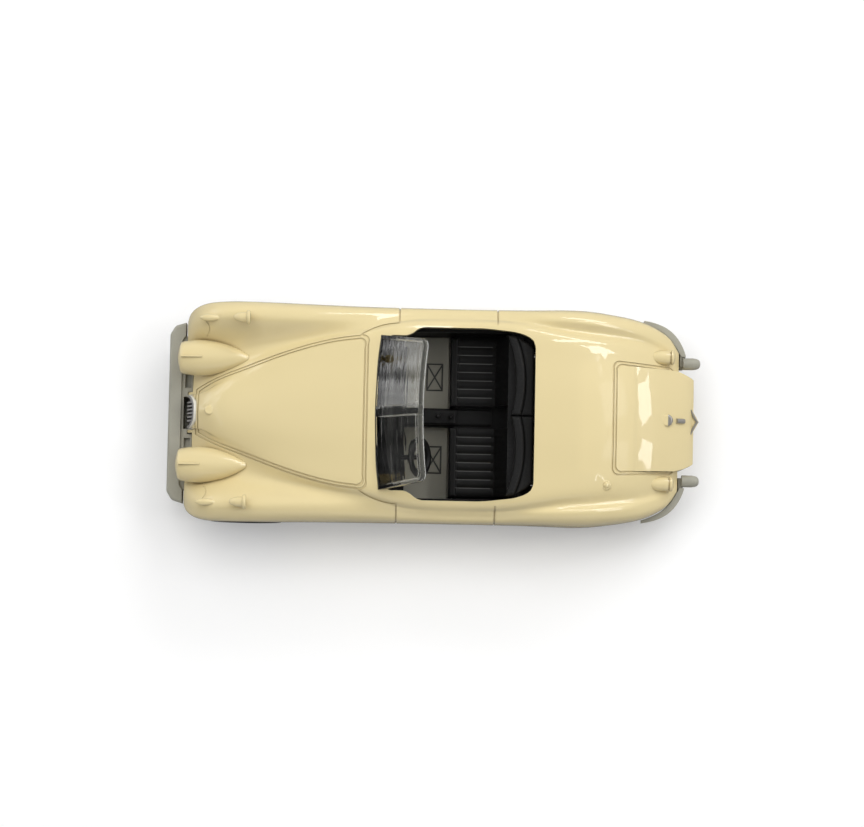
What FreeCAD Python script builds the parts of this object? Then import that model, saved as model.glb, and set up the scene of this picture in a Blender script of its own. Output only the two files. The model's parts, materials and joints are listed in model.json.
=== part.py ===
import FreeCAD, Part

import math
import os

from FreeCAD import Placement, Rotation, Vector

# A die-cast toy roadster, in millimetres. X runs forwards, Y to the car's left and Z up.
# The origin is on the floor under the middle of the car.

# Wheels and axles
wheel_radius = 5.6
wheel_width = 3.6
rim_radius = 3.7
tyre_fit = 0.03
tyre_shoulder = 0.8
axle_radius = 0.5
axle_clearance = 0.05
axle_head_radius = 0.85
axle_head_thickness = 0.35
axle_head_inset = 0.3
front_axle_x = 26.6
rear_axle_x = -17.4
front_wheel_inset = 0.2
rear_wheel_inset = 2.25
arch_gap = 0.6
well_gap = 0.6
lug_thickness = 0.8
lug_gap = 0.6
lug_width = 2.6

# Body casting
nose_x = 35.6
tail_x = -35.1
nose_round = 7.2
tail_round = 7.0
nose_recess = 1.1
belt_z = 6.8
front_half_width = 15.6
door_half_width = 15.3
rear_half_width = 15.45
bonnet_half_width = 11.0
sill_z = 3.8
sill_tuck = 0.5
wall = 1.2
bonnet_z = 16.1
deck_z = 15.7
crest_z = 14.5
rear_crest_z = 14.0
door_top_z = 13.8

front_wheel_face_y = front_half_width - front_wheel_inset
rear_wheel_face_y = rear_half_width - rear_wheel_inset

# Panel grooves
groove_width = 0.22
groove_depth = 0.16
groove_pitch = 0.42
bonnet_front_x = 33.9
bonnet_rear_x = 9.3
boot_front_x = -25.1
boot_rear_x = -34.3
boot_inset = 7.3
boot_taper = 0.55
door_front_x = 5.2
door_rear_x = -8.9
door_sill_z = 5.6
spat_gap = 0.8

# Cockpit
cockpit_front_x = 7.9
cockpit_front_bow = 1.1
cockpit_rear_x = -14.1
cockpit_half_width = 12.2
cockpit_front_half_width = 10.9
cockpit_rear_half_width = 10.2
corner_round = 1.2

# Lamps and small fittings on the body
headlamp_inset = 8.0
headlamp_z = 10.1
headlamp_radius = 2.55
headlamp_face_x = 36.5
headlamp_tail_x = 26.4
headlamp_tail_z = 11.6
fin_width = 0.24
fin_height = 0.3
sidelight_x = 31.5
sidelight_out = 0.15
sidelight_length = 3.8
sidelight_radius = 0.5
wing_arc_x = 32.3
wing_arc_y = 11.6
wing_arc_radius = 1.2
mirror_x = 26.0
mirror_out = -0.05
mirror_radius = 1.0
mirror_plate = 0.5
mirror_shell_radius = 0.72
mirror_length = 2.4
mirror_rise = 1.15
tail_lamp_x = -33.6
tail_lamp_inset = 6.45
tail_lamp_radius = 1.02
tail_lamp_length = 3.5
badge_x = 31.7
badge_radius = 0.68
boot_boss_x = -33.0
boot_boss_radius = 0.85
handle_x = -35.0
handle_length = 1.3
handle_radius = 0.35
chevron_x = -37.75
chevron_half_width = 1.75
chevron_sweep = 1.0
chevron_bar = 0.3
filler_x = -24.4
filler_y = 9.5
filler_radius = 0.45
lid_end_x = -37.35
lid_end_half_width = 5.9
lid_proud = 0.12
lid_low_z = 5.0

# Grille
grille_half_width = 2.5
grille_z = 7.8
grille_half_height = 3.05
grille_rim = 0.32
grille_proud = 0.15
grille_front_x = 35.15
nose_gap_x = 34.45
nose_gap_y = 2.9
grille_depth = 0.5
grille_back = 0.4
grille_fit = 0.03
slat_count = 6
slat_pitch = 0.52
slat_width = 0.24

# Base plate with the bumpers
base_low_z = 3.0
base_top_z = 4.2
base_fit = 0.15
base_front_x = 33.6
base_rear_x = -33.0
floor_pan_z = 5.0
floor_pan_front_x = 7.0
floor_pan_rear_x = -2.0
mat_y = 5.95
mat_width = 4.0
mat_length = 2.4
mat_rib = 0.22
mat_depth = 0.3
bumper_face_x = 38.0
bumper_back_x = 36.2
bumper_low_z = 4.4
bumper_top_z = 7.0
bumper_inset = 2.65
bumper_gap = 0.15
bumper_edge = 0.45
bumper_corner = 0.9
shelf_fit = 0.12
shelf_half_width = 11.0
apron_z = 6.5
pocket_depth = 0.7
slot_floor_z = 3.5
slot_half_width = 2.3
overrider_tip_x = -38.0
overrider_inset = 7.05
overrider_z = 6.9
overrider_radius = 0.85
overrider_length = 2.5
rear_bumper_top_z = 7.2
rear_bumper_gap = 0.15
rivet_xs = (20.0, -27.0)
rivet_radius = 0.8
rivet_head_radius = 1.5
rivet_head_height = 0.35
rivet_fit = 0.05
post_radius = 1.5

# Windscreen
screen_half_width = 10.9
screen_taper = 0.1
screen_base_x = 8.55
screen_base_z = 15.9
screen_top_x = 2.15
screen_top_z = 22.5
screen_thickness = 0.95
screen_bow = 1.2
screen_corner = 1.3
screen_rim = 0.55
screen_post_width = 1.5
screen_pane_depth = 0.15
screen_seat = 0.03

# Interior moulding
tub_low_z = 4.35
tub_overlap = 0.3
tub_side = 0.7
tub_side_z = 11.5
side_front_x = 7.0
ledge_reach = 8.8
cushion_front_x = -2.2
cushion_rear_x = -8.2
cushion_z = 8.5
pleat_rise = 0.2
seat_gap = 0.52
pleats_per_seat = 8
seat_inner_y = 1.6
bolster_depth = 1.2
seat_back_depth = 2.0
seat_back_z = 12.6
seat_back_lean = 2.4
tunnel_half_width = 1.3
tunnel_z = 7.6
console_front_x = 1.6
console_rear_x = -3.2
console_rise = 0.7
gear_lever_x = -0.6
brake_lever_x = -2.4
dash_rear_x = 3.8
dash_fit = 0.12
dash_low_z = 11.6
dash_top_z = 15.2
ledge_z = 12.6
hood_front_x = -10.8
hood_fold_x = -12.2
hood_z = 13.9
hood_bulge = 0.6
hood_fit = 0.15
shelf_z = 12.0

# Steering wheel
steering_x = 1.8
steering_y = 6.1
steering_z = 13.9
steering_radius = 2.4
steering_rim_radius = 0.43
steering_lean = 27.0
column_radius = 0.35
column_length = 4.4
column_fit = 0.03

tub_half_width = cockpit_half_width + tub_overlap
pleat_pitch = (tub_half_width - tub_side - seat_gap - seat_inner_y) / pleats_per_seat
bumper_half_width = front_half_width - bumper_inset
headlamp_y = front_half_width - headlamp_inset
tail_lamp_y = rear_half_width - tail_lamp_inset
overrider_y = rear_half_width - overrider_inset
boot_half_width = rear_half_width - boot_inset

# Steps along the nose and the tail, as angles of their quarter ellipses
round_angles = (75, 64, 51, 36, 19)

X = Vector(1, 0, 0)
Y = Vector(0, 1, 0)
Z = Vector(0, 0, 1)


def flow(keys):
    """Smooth curve through (x, value) keys. It never overshoots, and stays level past its ends."""
    keys = sorted(keys)
    xs = [key[0] for key in keys]
    values = [key[1] for key in keys]
    steps = [b - a for a, b in zip(xs, xs[1:])]
    rises = [(b - a) / step for a, b, step in zip(values, values[1:], steps)]
    slopes = [rises[0]]
    for left, right in zip(rises, rises[1:]):
        slopes.append(0.0 if left * right <= 0 else 2 * left * right / (left + right))
    slopes.append(rises[-1])

    def at(x):
        x = min(max(x, xs[0]), xs[-1])
        i = min(sum(1 for start in xs[1:] if start <= x), len(steps) - 1)
        t = (x - xs[i]) / steps[i]
        rest = 1 - t
        return (
            values[i] * (1 + 2 * t) * rest * rest
            + slopes[i] * steps[i] * t * rest * rest
            + values[i + 1] * t * t * (3 - 2 * t)
            - slopes[i + 1] * steps[i] * t * t * rest
        )

    return at


def body_lines():
    """Lines that run along the body: heights and half widths at each x."""
    nose = nose_x - 0.2
    tail = tail_x + 0.1
    front = front_axle_x
    rear = rear_axle_x
    scuttle = bonnet_rear_x
    return {
        "centre_z": flow([
            (nose, bonnet_z - 4.1), (front + 6.8, bonnet_z - 3.1), (front + 3.4, bonnet_z - 2.4),
            (front, bonnet_z - 1.9), (front - 6.6, bonnet_z - 1.0), (scuttle + 4.4, bonnet_z - 0.4),
            (scuttle, bonnet_z), (cockpit_front_x - 1.2, bonnet_z + 0.2), (-3, bonnet_z),
            (cockpit_rear_x, deck_z), (rear - 2.6, deck_z - 0.7), (rear - 8.6, deck_z - 2.1),
            (rear - 12.6, deck_z - 3.7), (tail, deck_z - 5.3),
        ]),
        "edge_y": flow([
            (nose, bonnet_half_width - 8.1), (front + 6.4, bonnet_half_width - 7.5),
            (front + 4.4, bonnet_half_width - 6.3), (front, bonnet_half_width - 4.6),
            (front - 6.6, bonnet_half_width - 2.2), (scuttle + 5.1, bonnet_half_width - 0.7),
            (scuttle, bonnet_half_width), (5, cockpit_half_width),
            (0, cockpit_half_width + 0.5), (-10, cockpit_half_width + 0.5),
            (cockpit_rear_x, cockpit_half_width - 0.3), (rear - 2.6, rear_half_width - 4.35),
            (rear - 8.6, rear_half_width - 5.05), (rear - 13.6, rear_half_width - 6.05),
            (tail, rear_half_width - 7.95),
        ]),
        "edge_z": flow([
            (nose, crest_z - 6.1), (front + 6.4, crest_z - 4.2), (front + 4.4, crest_z - 3.3),
            (front, crest_z - 2.2), (front - 6.6, crest_z - 0.8), (scuttle + 5.1, bonnet_z - 1.6),
            (scuttle, bonnet_z - 1.0), (3, door_top_z + 0.6), (-3, door_top_z),
            (-9, door_top_z + 0.4), (cockpit_rear_x, deck_z - 0.9), (rear - 2.6, deck_z - 1.6),
            (rear - 8.6, deck_z - 3.2), (rear - 13.6, deck_z - 5.1), (tail, deck_z - 6.5),
        ]),
        "valley_y": flow([
            (nose, front_half_width - 7.2), (front + 6.4, front_half_width - 7.0),
            (front, front_half_width - 6.4), (front - 6.6, front_half_width - 5.4),
            (scuttle + 5.1, front_half_width - 4.5), (scuttle, front_half_width - 3.7),
            (5, cockpit_half_width + 0.8), (0, cockpit_half_width + 1.4),
            (-10, cockpit_half_width + 1.4), (cockpit_rear_x, cockpit_half_width + 0.6),
            (rear - 2.6, rear_half_width - 3.25), (rear - 8.6, rear_half_width - 3.85),
            (rear - 13.6, rear_half_width - 4.85), (tail, rear_half_width - 7.15),
        ]),
        "valley_z": flow([
            (nose, crest_z - 6.5), (front + 6.4, crest_z - 4.9), (front + 4.4, crest_z - 4.1),
            (front, crest_z - 3.0), (front - 6.6, crest_z - 1.7), (scuttle + 5.1, crest_z - 0.9),
            (scuttle, crest_z - 0.3), (3, door_top_z - 0.5), (-3, door_top_z - 0.9),
            (-9, door_top_z - 0.7), (cockpit_rear_x, rear_crest_z - 0.1),
            (rear - 2.6, rear_crest_z - 0.7), (rear - 8.6, rear_crest_z - 2.1),
            (rear - 13.6, rear_crest_z - 3.8), (tail, rear_crest_z - 5.0),
        ]),
        "crest_y": flow([
            (nose, front_half_width - 3.8), (front + 6.4, front_half_width - 2.9),
            (front + 1.4, front_half_width - 2.6), (front - 6.6, front_half_width - 2.6),
            (scuttle, front_half_width - 2.2), (0, door_half_width - 1.0), (-8, door_half_width - 1.0),
            (cockpit_rear_x, rear_half_width - 1.55), (rear - 2.6, rear_half_width - 1.95),
            (rear - 8.6, rear_half_width - 2.55), (rear - 13.6, rear_half_width - 3.75),
            (tail, rear_half_width - 6.15),
        ]),
        "crest_z": flow([
            (nose, crest_z - 1.3), (front + 6.4, crest_z - 0.6), (front + 3.4, crest_z - 0.2),
            (front, crest_z), (front - 6.6, crest_z), (front - 12.6, crest_z - 0.4),
            (8, crest_z - 1.0), (3, door_top_z - 1.1), (-3, door_top_z - 1.7),
            (-8, door_top_z - 1.5), (-12, rear_crest_z - 0.8), (rear, rear_crest_z),
            (rear - 4.6, rear_crest_z - 0.4), (rear - 9.6, rear_crest_z - 2.0),
            (rear - 13.6, rear_crest_z - 3.6), (tail, rear_crest_z - 4.8),
        ]),
        "width": flow([
            (nose, front_half_width - 2.7), (nose - 0.3, front_half_width - 1.8),
            (nose - 0.8, front_half_width - 1.2), (nose - 1.9, front_half_width - 0.55),
            (nose - 3.9, front_half_width - 0.1), (front + 0.9, front_half_width),
            (15, door_half_width + 0.1), (0, door_half_width), (-12, door_half_width),
            (rear - 2.5, rear_half_width), (rear - 7.1, rear_half_width - 0.4),
            (tail + 5.0, rear_half_width - 1.55), (tail + 1.8, rear_half_width - 3.25),
            (tail + 0.4, rear_half_width - 5.05), (tail, rear_half_width - 5.75),
        ]),
        "widest_z": flow([
            (nose, crest_z - 4.0), (front, crest_z - 3.0), (front - 8.6, crest_z - 3.5),
            (8, crest_z - 4.9), (-5, crest_z - 5.5), (rear, rear_crest_z - 4.8),
            (rear - 10.6, rear_crest_z - 5.4), (tail, rear_crest_z - 6.0),
        ]),
        "bottom_z": flow([
            (nose, sill_z + 0.7), (nose - 2.4, sill_z + 0.6), (nose - 5.5, sill_z),
            (tail + 5.0, sill_z), (tail + 1.6, sill_z + 0.6), (tail, sill_z + 0.8),
        ]),
    }


lines = body_lines()


def rounded(x, recess=0.0):
    """Share of the height above the belt that is left at x, rounding off at the nose and the tail."""
    ahead = (x - (nose_x - recess - nose_round)) / nose_round
    behind = ((tail_x + tail_round) - x) / tail_round
    t = min(max(ahead, behind, 0.0), 1.0)
    return math.sqrt(1 - t * t)


def half_section(x, inset, drop):
    """Points across half the body at x, from the middle out to drop below the sill, drawn in by inset."""

    def height(name, recess=0.0):
        return belt_z + (lines[name](x) - belt_z) * rounded(x, recess) - inset

    centre_z = height("centre_z")
    edge_z = height("edge_z", nose_recess * 0.4)
    valley_z = height("valley_z", nose_recess)
    crest_top = height("crest_z")
    widest = height("widest_z") + inset * 0.5
    bottom = lines["bottom_z"](x) - drop
    width = lines["width"](x) - inset
    crest_y = min(lines["crest_y"](x) - inset * 0.5, width - 0.8)
    valley_y = min(lines["valley_y"](x) - inset * 0.2, crest_y - 0.8)
    edge_y = min(lines["edge_y"](x), valley_y - 0.5)
    points = [(0.0, centre_z)]
    for share in (0.4, 0.75):
        points.append((edge_y * share, centre_z - (centre_z - edge_z) * share ** 2.2))
    points.append((edge_y, edge_z))
    points.append((valley_y, valley_z))
    points.append(((valley_y + crest_y) / 2, (valley_z + crest_top) / 2))
    points.append((crest_y, crest_top))
    for angle in (32, 62):
        a = math.radians(angle)
        points.append((
            crest_y + (width - crest_y) * math.sin(a) ** 0.9,
            widest + (crest_top - widest) * math.cos(a) ** 0.9,
        ))
    points.append((width, widest))
    points.append((width - sill_tuck * 0.3, bottom + (widest - bottom) * 0.5))
    points.append((width - sill_tuck, bottom))
    return points


def spacing():
    """Where each section point lies along its curve, the same for every section: a mean of some."""
    steps = [0.0] * (len(half_section(0.0, 0.0, 0.0)) - 1)
    for x in (front_axle_x, front_axle_x, bonnet_rear_x, rear_axle_x, rear_axle_x - 8.6):
        half = half_section(x, 0.0, 0.0)
        steps = [step + math.dist(a, b) for step, a, b in zip(steps, half, half[1:])]
    steps = steps[::-1] + steps
    total = sum(steps)
    return [sum(steps[:i]) / total for i in range(len(steps) + 1)]


section_spacing = spacing()


def section_wire(x, inset, drop):
    """Closed outline across the body at x: a curve from sill to sill over the top, and a floor line."""
    half = half_section(x, inset, drop)
    across = [Vector(x, y, z) for y, z in half[:0:-1]] + [Vector(x, -y, z) for y, z in half]
    curve = Part.BSplineCurve()
    curve.interpolate(Points=across, Parameters=section_spacing)
    return Part.Wire([curve.toShape(), Part.makeLine(across[-1], across[0])])


def stations(hollow):
    """Places of the sections along the car, closer together where the ends round off."""
    nose = nose_x - nose_round
    tail = tail_x + tail_round
    inset = wall if hollow else 0.0
    turns = [math.sin(math.radians(a)) for a in round_angles[1 if hollow else 0:]]
    xs = [nose + (nose_round - inset) * turn for turn in turns]
    xs += [front_axle_x, 22.5, 18, 13.5, 9.5, 5.5, 1, -4, -8.5, -12.5, rear_axle_x, -21.5, -25]
    xs += [tail - (tail_round - inset) * turn for turn in reversed(turns)]
    return xs


def hull(inset=0.0, hollow=False):
    """The body's outer form, or the same drawn in by inset. The hollow's form also stops short of
    both ends and runs on below the sills."""
    drop = sill_z - 1 if hollow else 0.0
    return Part.makeLoft([section_wire(x, inset, drop) for x in stations(hollow)], True, False)


def box(x0, x1, y0, y1, z0, z1):
    return Part.makeBox(x1 - x0, y1 - y0, z1 - z0, Vector(x0, y0, z0))


def mirrored(shape):
    """The shape with its copy on the car's other side."""
    return [shape, shape.mirror(Vector(0, 0, 0), Y)]


def polygon_face(points):
    return Part.Face(Part.makePolygon(points + points[:1]))


def soft_face(points, radius):
    """A flat face whose corners are arcs. A short side limits the arcs at its ends."""
    edges = []
    starts = []
    for i, corner in enumerate(points):
        ends = []
        for other in (points[i - 1], points[(i + 1) % len(points)]):
            away = other - corner
            ends.append(corner + away * (min(radius, away.Length * 0.45) / away.Length))
        middle = (ends[0] + ends[1]) * 0.25 + corner * 0.5
        starts.append((ends[0], ends[1], middle))
    for i, (first, last, middle) in enumerate(starts):
        edges.append(Part.Arc(first, middle, last).toShape())
        edges.append(Part.makeLine(last, starts[(i + 1) % len(starts)][0]))
    return Part.Face(Part.Wire(edges))


def plan_prism(points, low, high, radius=0.0):
    corners = [Vector(x, y, low) for x, y in points]
    face = soft_face(corners, radius) if radius else polygon_face(corners)
    return face.extrude(Z * (high - low))


def both_sides(points):
    """A plan outline on the car's left, joined to its mirror image."""
    return points + [(x, -y) for x, y in reversed(points)]


def spun(profile, start, direction):
    """A closed (along, radius) profile turned about a line from start in a direction."""
    face = polygon_face([Vector(along, 0, radius) for along, radius in profile])
    solid = face.revolve(Vector(0, 0, 0), X, 360)
    solid.Placement = Placement(start, Rotation(X, direction))
    return solid


def bullet(x0, x1, y, z, radius):
    """A blunt bullet on a line along X: flat at x0, rounded off at x1."""
    length = abs(x1 - x0)
    curve = Part.BSplineCurve()
    curve.interpolate(Points=[
        Vector(0, 0, -radius), Vector(length * 0.3, 0, radius * -0.98),
        Vector(length * 0.62, 0, radius * -0.84), Vector(length * 0.88, 0, radius * -0.5),
        Vector(length, 0, 0),
    ], InitialTangent=Vector(1, 0, 0), FinalTangent=Vector(0, 0, 1))
    back = Part.makeLine(Vector(length, 0, 0), Vector(0, 0, 0))
    rise = Part.makeLine(Vector(0, 0, 0), Vector(0, 0, -radius))
    face = Part.Face(Part.Wire([curve.toShape(), back, rise]))
    solid = face.revolve(Vector(0, 0, 0), X, 360)
    solid.Placement = Placement(Vector(x0, y, z), Rotation(Z, 0 if x1 > x0 else 180))
    return solid


def top_at(solid, x, y):
    """Height of the solid's upper surface at a place in plan."""
    line = Part.makeLine(Vector(x, y, 0), Vector(x, y, 60))
    return max(vertex.Z for vertex in solid.section(line).Vertexes)


def headlamp():
    """A pod with a stepped front, widest behind it, and a long tail that sinks into the wing."""
    rings = [
        (headlamp_face_x - 0.8, headlamp_z, 0.9), (headlamp_face_x - 2.9, headlamp_z + 0.05, 1.0),
        (headlamp_face_x - 5.4, headlamp_z + 0.35, 0.92),
        (headlamp_face_x - 8.0, (headlamp_z + headlamp_tail_z * 2) / 3, 0.6),
        (headlamp_tail_x, headlamp_tail_z, 0.16),
    ]
    wires = [
        Part.Wire(Part.makeCircle(headlamp_radius * share, Vector(x, headlamp_y, z), X))
        for x, z, share in rings
    ]
    tail = Part.makeLoft(wires, True, False)
    front = spun(
        [(0, 0), (0, headlamp_radius * 0.9), (0.35, headlamp_radius * 0.84), (0.5, headlamp_radius * 0.74),
         (0.42, headlamp_radius * 0.68), (0.65, headlamp_radius * 0.5), (0.8, headlamp_radius * 0.22),
         (0.82, 0)],
        Vector(headlamp_face_x - 0.8, headlamp_y, headlamp_z), X,
    )
    fin = box(
        headlamp_face_x - 3.6, headlamp_face_x - 0.6, headlamp_y - fin_width / 2,
        headlamp_y + fin_width / 2, headlamp_z, headlamp_z + headlamp_radius + fin_height,
    )
    return tail.fuse([front, fin])


def sidelight(outer):
    """A small pointed lamp on the crest of a front wing."""
    y = lines["crest_y"](sidelight_x) + sidelight_out
    z = top_at(outer, sidelight_x, y) + sidelight_radius * 0.4
    curve = Part.BSplineCurve()
    curve.interpolate([
        Vector(-sidelight_length / 2, 0, 0), Vector(-sidelight_length * 0.15, 0, -sidelight_radius * 0.75),
        Vector(sidelight_length * 0.2, 0, -sidelight_radius), Vector(sidelight_length / 2, 0, 0),
    ])
    line = Part.makeLine(Vector(sidelight_length / 2, 0, 0), Vector(-sidelight_length / 2, 0, 0))
    lamp = Part.Face(Part.Wire([curve.toShape(), line])).revolve(Vector(0, 0, 0), X, 360)
    return moved(lamp, sidelight_x, y, z)


def wing_mirror(outer):
    """A mirror on a short stalk: a round plate to the rear with a bullet shell in front of it."""
    stalk_x = mirror_x + mirror_plate + 0.7
    y = lines["crest_y"](stalk_x) + mirror_out
    z = top_at(outer, stalk_x, y)
    high = z + mirror_rise
    plate = Part.makeCylinder(mirror_radius, mirror_plate, Vector(mirror_x, y, high), X)
    plate = plate.makeFillet(mirror_plate * 0.4, [e for e in plate.Edges if e.Closed])
    start = mirror_x + mirror_plate * 0.6
    shell = bullet(start, mirror_x + mirror_length, y, high, mirror_shell_radius)
    stalk = Part.makeCylinder(0.35, mirror_rise + 0.6, Vector(stalk_x, y, z - 0.6), Z)
    return plate.fuse([shell, stalk])


def tail_lamp(outer):
    """A bullet lamp in the valley beside the boot: its lens is to the rear, behind a narrow gap."""
    z = top_at(outer, tail_lamp_x + 1.2, tail_lamp_y) + 0.3
    r = tail_lamp_radius
    shell = bullet(tail_lamp_x + 0.25, tail_lamp_x + tail_lamp_length, tail_lamp_y, z, r)
    lens = spun(
        [(0, 0), (0, r * 0.78), (0.45, r * 0.78), (0.45, r), (0.72, r), (0.85, r * 0.85), (0.95, r * 0.5),
         (0.98, 0)],
        Vector(tail_lamp_x + 0.45, tail_lamp_y, z), X * -1,
    )
    return shell.fuse(lens)


def dome(x, y, z, radius, height):
    """A low round boss on the body's upper surface."""
    base = Part.makeCylinder(radius, height + 0.8, Vector(x, y, z - 0.8), Z)
    top = max(base.Edges, key=lambda e: e.CenterOfMass.z)
    return base.makeFillet(min(radius, height) * 0.8, [top])


def lid_outline():
    """Plan outline of the raised boot lid, with its foot past the tail."""
    inside = groove_pitch + groove_width
    foot = boot_half_width - boot_taper - inside
    return [Vector(x, y, 0) for x, y in both_sides([
        (lid_end_x, lid_end_half_width), (tail_x - 0.3, foot - 0.1), (boot_rear_x, foot + 0.2),
        (boot_front_x - inside, boot_half_width - inside),
    ])]


def boot_lid():
    """The boot lid: the deck's own sections, a little proud of it and drawn out past the tail."""
    start = boot_front_x + 1
    wires = []
    for x in [x for x in stations(False) if x < start + 2]:
        share = (start - min(x, start)) / (start - tail_x)
        wires.append(moved(section_wire(x, -lid_proud, 0), (lid_end_x - tail_x) * share ** 2, 0, 0))
    skin = Part.makeLoft(wires, True, False)
    plan = soft_face(lid_outline(), corner_round * 0.7).extrude(Z * 40)
    return skin.common(plan).cut(box(lid_end_x - 1, start + 1, -10, 10, 0, lid_low_z))


def boot_trim(lid):
    """A boss, a handle and a plain V-shaped bar at the boot lid's foot."""
    z = top_at(lid, handle_x, 0)
    slope = Vector(1, 0, top_at(lid, handle_x + 0.5, 0) - top_at(lid, handle_x - 0.5, 0))
    start = Vector(handle_x, 0, z + handle_radius * 0.5) - slope * (handle_length / 2 / slope.Length)
    handle = Part.makeCylinder(handle_radius, handle_length, start, slope)
    boss = dome(boot_boss_x, 0, top_at(lid, boot_boss_x, 0), boot_boss_radius, 0.35)
    end_x = chevron_x + chevron_sweep
    top = top_at(lid, end_x, 0)
    plan = []
    for x in (0, chevron_bar):
        foot_x = end_x + x * 0.4
        arm = [(foot_x, chevron_half_width), (chevron_x + x, 0), (foot_x, -chevron_half_width)]
        plan += arm if x == 0 else arm[::-1]
    return [handle, boss, plan_prism(plan, top - 0.9, top + 0.1)]


def bonnet_face(shrink=0.0):
    """Plan outline of the bonnet lid, drawn in by shrink."""
    steps = 7
    corner = corner_round
    front = bonnet_front_x - shrink
    rear = bonnet_rear_x + shrink
    side = []
    for i in range(steps + 1):
        x = front + (rear + corner - front) * i / steps
        side.append(Vector(x, lines["edge_y"](x) - shrink, 0))
    other = [Vector(p.x, -p.y, 0) for p in reversed(side)]
    left = Part.BSplineCurve()
    left.interpolate(side)
    right = Part.BSplineCurve()
    right.interpolate(other)
    ends = [Vector(rear, side[-1].y - corner, 0), Vector(rear, corner - side[-1].y, 0)]
    bends = []
    for start, stop in ((side[-1], ends[0]), (ends[1], other[0])):
        sharp = Vector(rear, start.y if start.x > stop.x else stop.y, 0)
        bends.append(Part.Arc(start, (start + stop) * 0.15 + sharp * 0.7, stop).toShape())
    return Part.Face(Part.Wire([
        left.toShape(), bends[0], Part.makeLine(ends[0], ends[1]), bends[1], right.toShape(),
        Part.makeLine(other[-1], side[0]),
    ]))


def boot_face(shrink=0.0):
    """Plan outline of the boot lid."""
    return soft_face([Vector(x, y, 0) for x, y in both_sides([
        (boot_rear_x, boot_half_width - boot_taper - shrink),
        (boot_front_x - shrink, boot_half_width - shrink),
    ])], corner_round)


def door_face():
    """Side outline of a door, open above the door's top."""
    high = crest_z + 6
    return soft_face([Vector(x, 0, z) for x, z in [
        (door_rear_x, high), (door_rear_x, door_sill_z), (door_front_x, door_sill_z), (door_front_x, high),
    ]], corner_round)


def spat_face():
    """Side outline of the panel over a rear wheel."""
    radius = wheel_radius + spat_gap
    centre = Vector(rear_axle_x, 0, wheel_radius)
    ahead = centre + X * radius
    behind = centre - X * radius
    low = sill_z - 1
    feet = [Vector(behind.x, 0, low), Vector(ahead.x, 0, low)]
    return Part.Face(Part.Wire([
        Part.Arc(ahead, centre + Z * radius, behind).toShape(), Part.makeLine(behind, feet[0]),
        Part.makeLine(feet[0], feet[1]), Part.makeLine(feet[1], ahead),
    ]))


def grooves():
    """The shut lines of the bonnet, boot, doors and spats, cut to one depth below the surface."""
    skin = hull(groove_depth)
    cutters = []
    for shrink in (0.0, groove_pitch):
        lid = bonnet_face(shrink).extrude(Z * 40)
        cutters.append(lid.cut(bonnet_face(shrink + groove_width).extrude(Z * 40)))
        boot = boot_face(shrink)
        cutters.append(boot.extrude(Z * 40).cut(boot.makeOffset2D(-groove_width).extrude(Z * 40)))
    inboard = box(-40, 40, -1, cockpit_half_width + 0.6, -5, 40)
    for face in (door_face(), spat_face()):
        ring = face.extrude(Y * 20).cut(face.makeOffset2D(-groove_width).extrude(Y * 20))
        cutters += mirrored(ring.cut(inboard))
    cutters += mirrored(wing_seam()) + mirrored(wing_arc())
    return [cutter.cut(skin) for cutter in cutters]


def wing_seam():
    """The line between bonnet and wing, where it runs on from the bonnet's corner to the door."""
    start = bonnet_rear_x + corner_round
    points = []
    for share, out in ((0.0, -0.12), (0.5, 0.7), (1.0, 0.4)):
        x = start + (door_front_x - groove_width - start) * share
        points.append(Vector(x, lines["edge_y"](x) + out, 0))
    inner = Part.Arc(*points).toShape()
    outer = Part.Arc(*[point + Y * groove_width for point in points]).toShape()
    ends = [Part.makeLine(points[i], points[i] + Y * groove_width) for i in (0, -1)]
    return Part.Face(Part.Wire(Part.__sortEdges__([inner, ends[0], outer, ends[1]]))).extrude(Z * 40)


def wing_arc():
    """The short curved line between sidelight and headlamp."""
    centre = Vector(wing_arc_x + wing_arc_radius * 0.6, wing_arc_y, 0)
    ring = Part.makeCylinder(wing_arc_radius, 40, centre, Z)
    ring = ring.cut(Part.makeCylinder(wing_arc_radius - groove_width * 0.8, 40, centre, Z))
    return ring.common(box(wing_arc_x - 2, wing_arc_x + 0.1, wing_arc_y - 2, wing_arc_y + 2, 0, 40))


def cockpit_front(reach):
    """The bowed front edge of the opening, or of what lies inside it, as far out as reach."""
    return [
        (cockpit_front_x - cockpit_front_bow * share ** 2, cockpit_front_half_width * share)
        for share in (0.25, 0.5, 0.75, 1.0) if cockpit_front_half_width * share <= reach
    ]


def cockpit_outline():
    return both_sides(cockpit_front(cockpit_front_half_width) + [
        (cockpit_front_x - 4.4, cockpit_front_half_width),
        (cockpit_front_x - 5.7, cockpit_half_width), (cockpit_rear_x + 7.0, cockpit_half_width),
        (cockpit_rear_x + 2.4, cockpit_half_width - 0.55),
        (cockpit_rear_x + 0.7, cockpit_rear_half_width + 0.75), (cockpit_rear_x, cockpit_rear_half_width - 0.1),
    ])


def nose_gap():
    """What opens the nose in front: a flat face for the grille, and hollows under the headlamps."""
    face = box(grille_front_x, nose_x + 4, -nose_gap_y - 0.3, nose_gap_y + 0.3, 0, 20)
    hollow = plan_prism([
        (nose_x + 4, nose_gap_y), (nose_gap_x, nose_gap_y), (nose_gap_x, headlamp_y),
        (nose_x - 0.5, headlamp_y + 2.0), (nose_x + 4, headlamp_y + 2.0),
    ], 0, 20)
    return [face] + mirrored(hollow)


def grille_oval(grow):
    """An upright oval bar along X, where the grille sits."""
    oval = Part.Ellipse(
        Vector(0, 0, 0), grille_half_height + grow, grille_half_width + grow
    ).toShape()
    face = Part.Face(Part.Wire(oval))
    face.Placement = Placement(Vector(nose_x - 6, 0, grille_z), Rotation(Z, Y * -1, X, "ZXY"))
    return face.extrude(X * 8)


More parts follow.
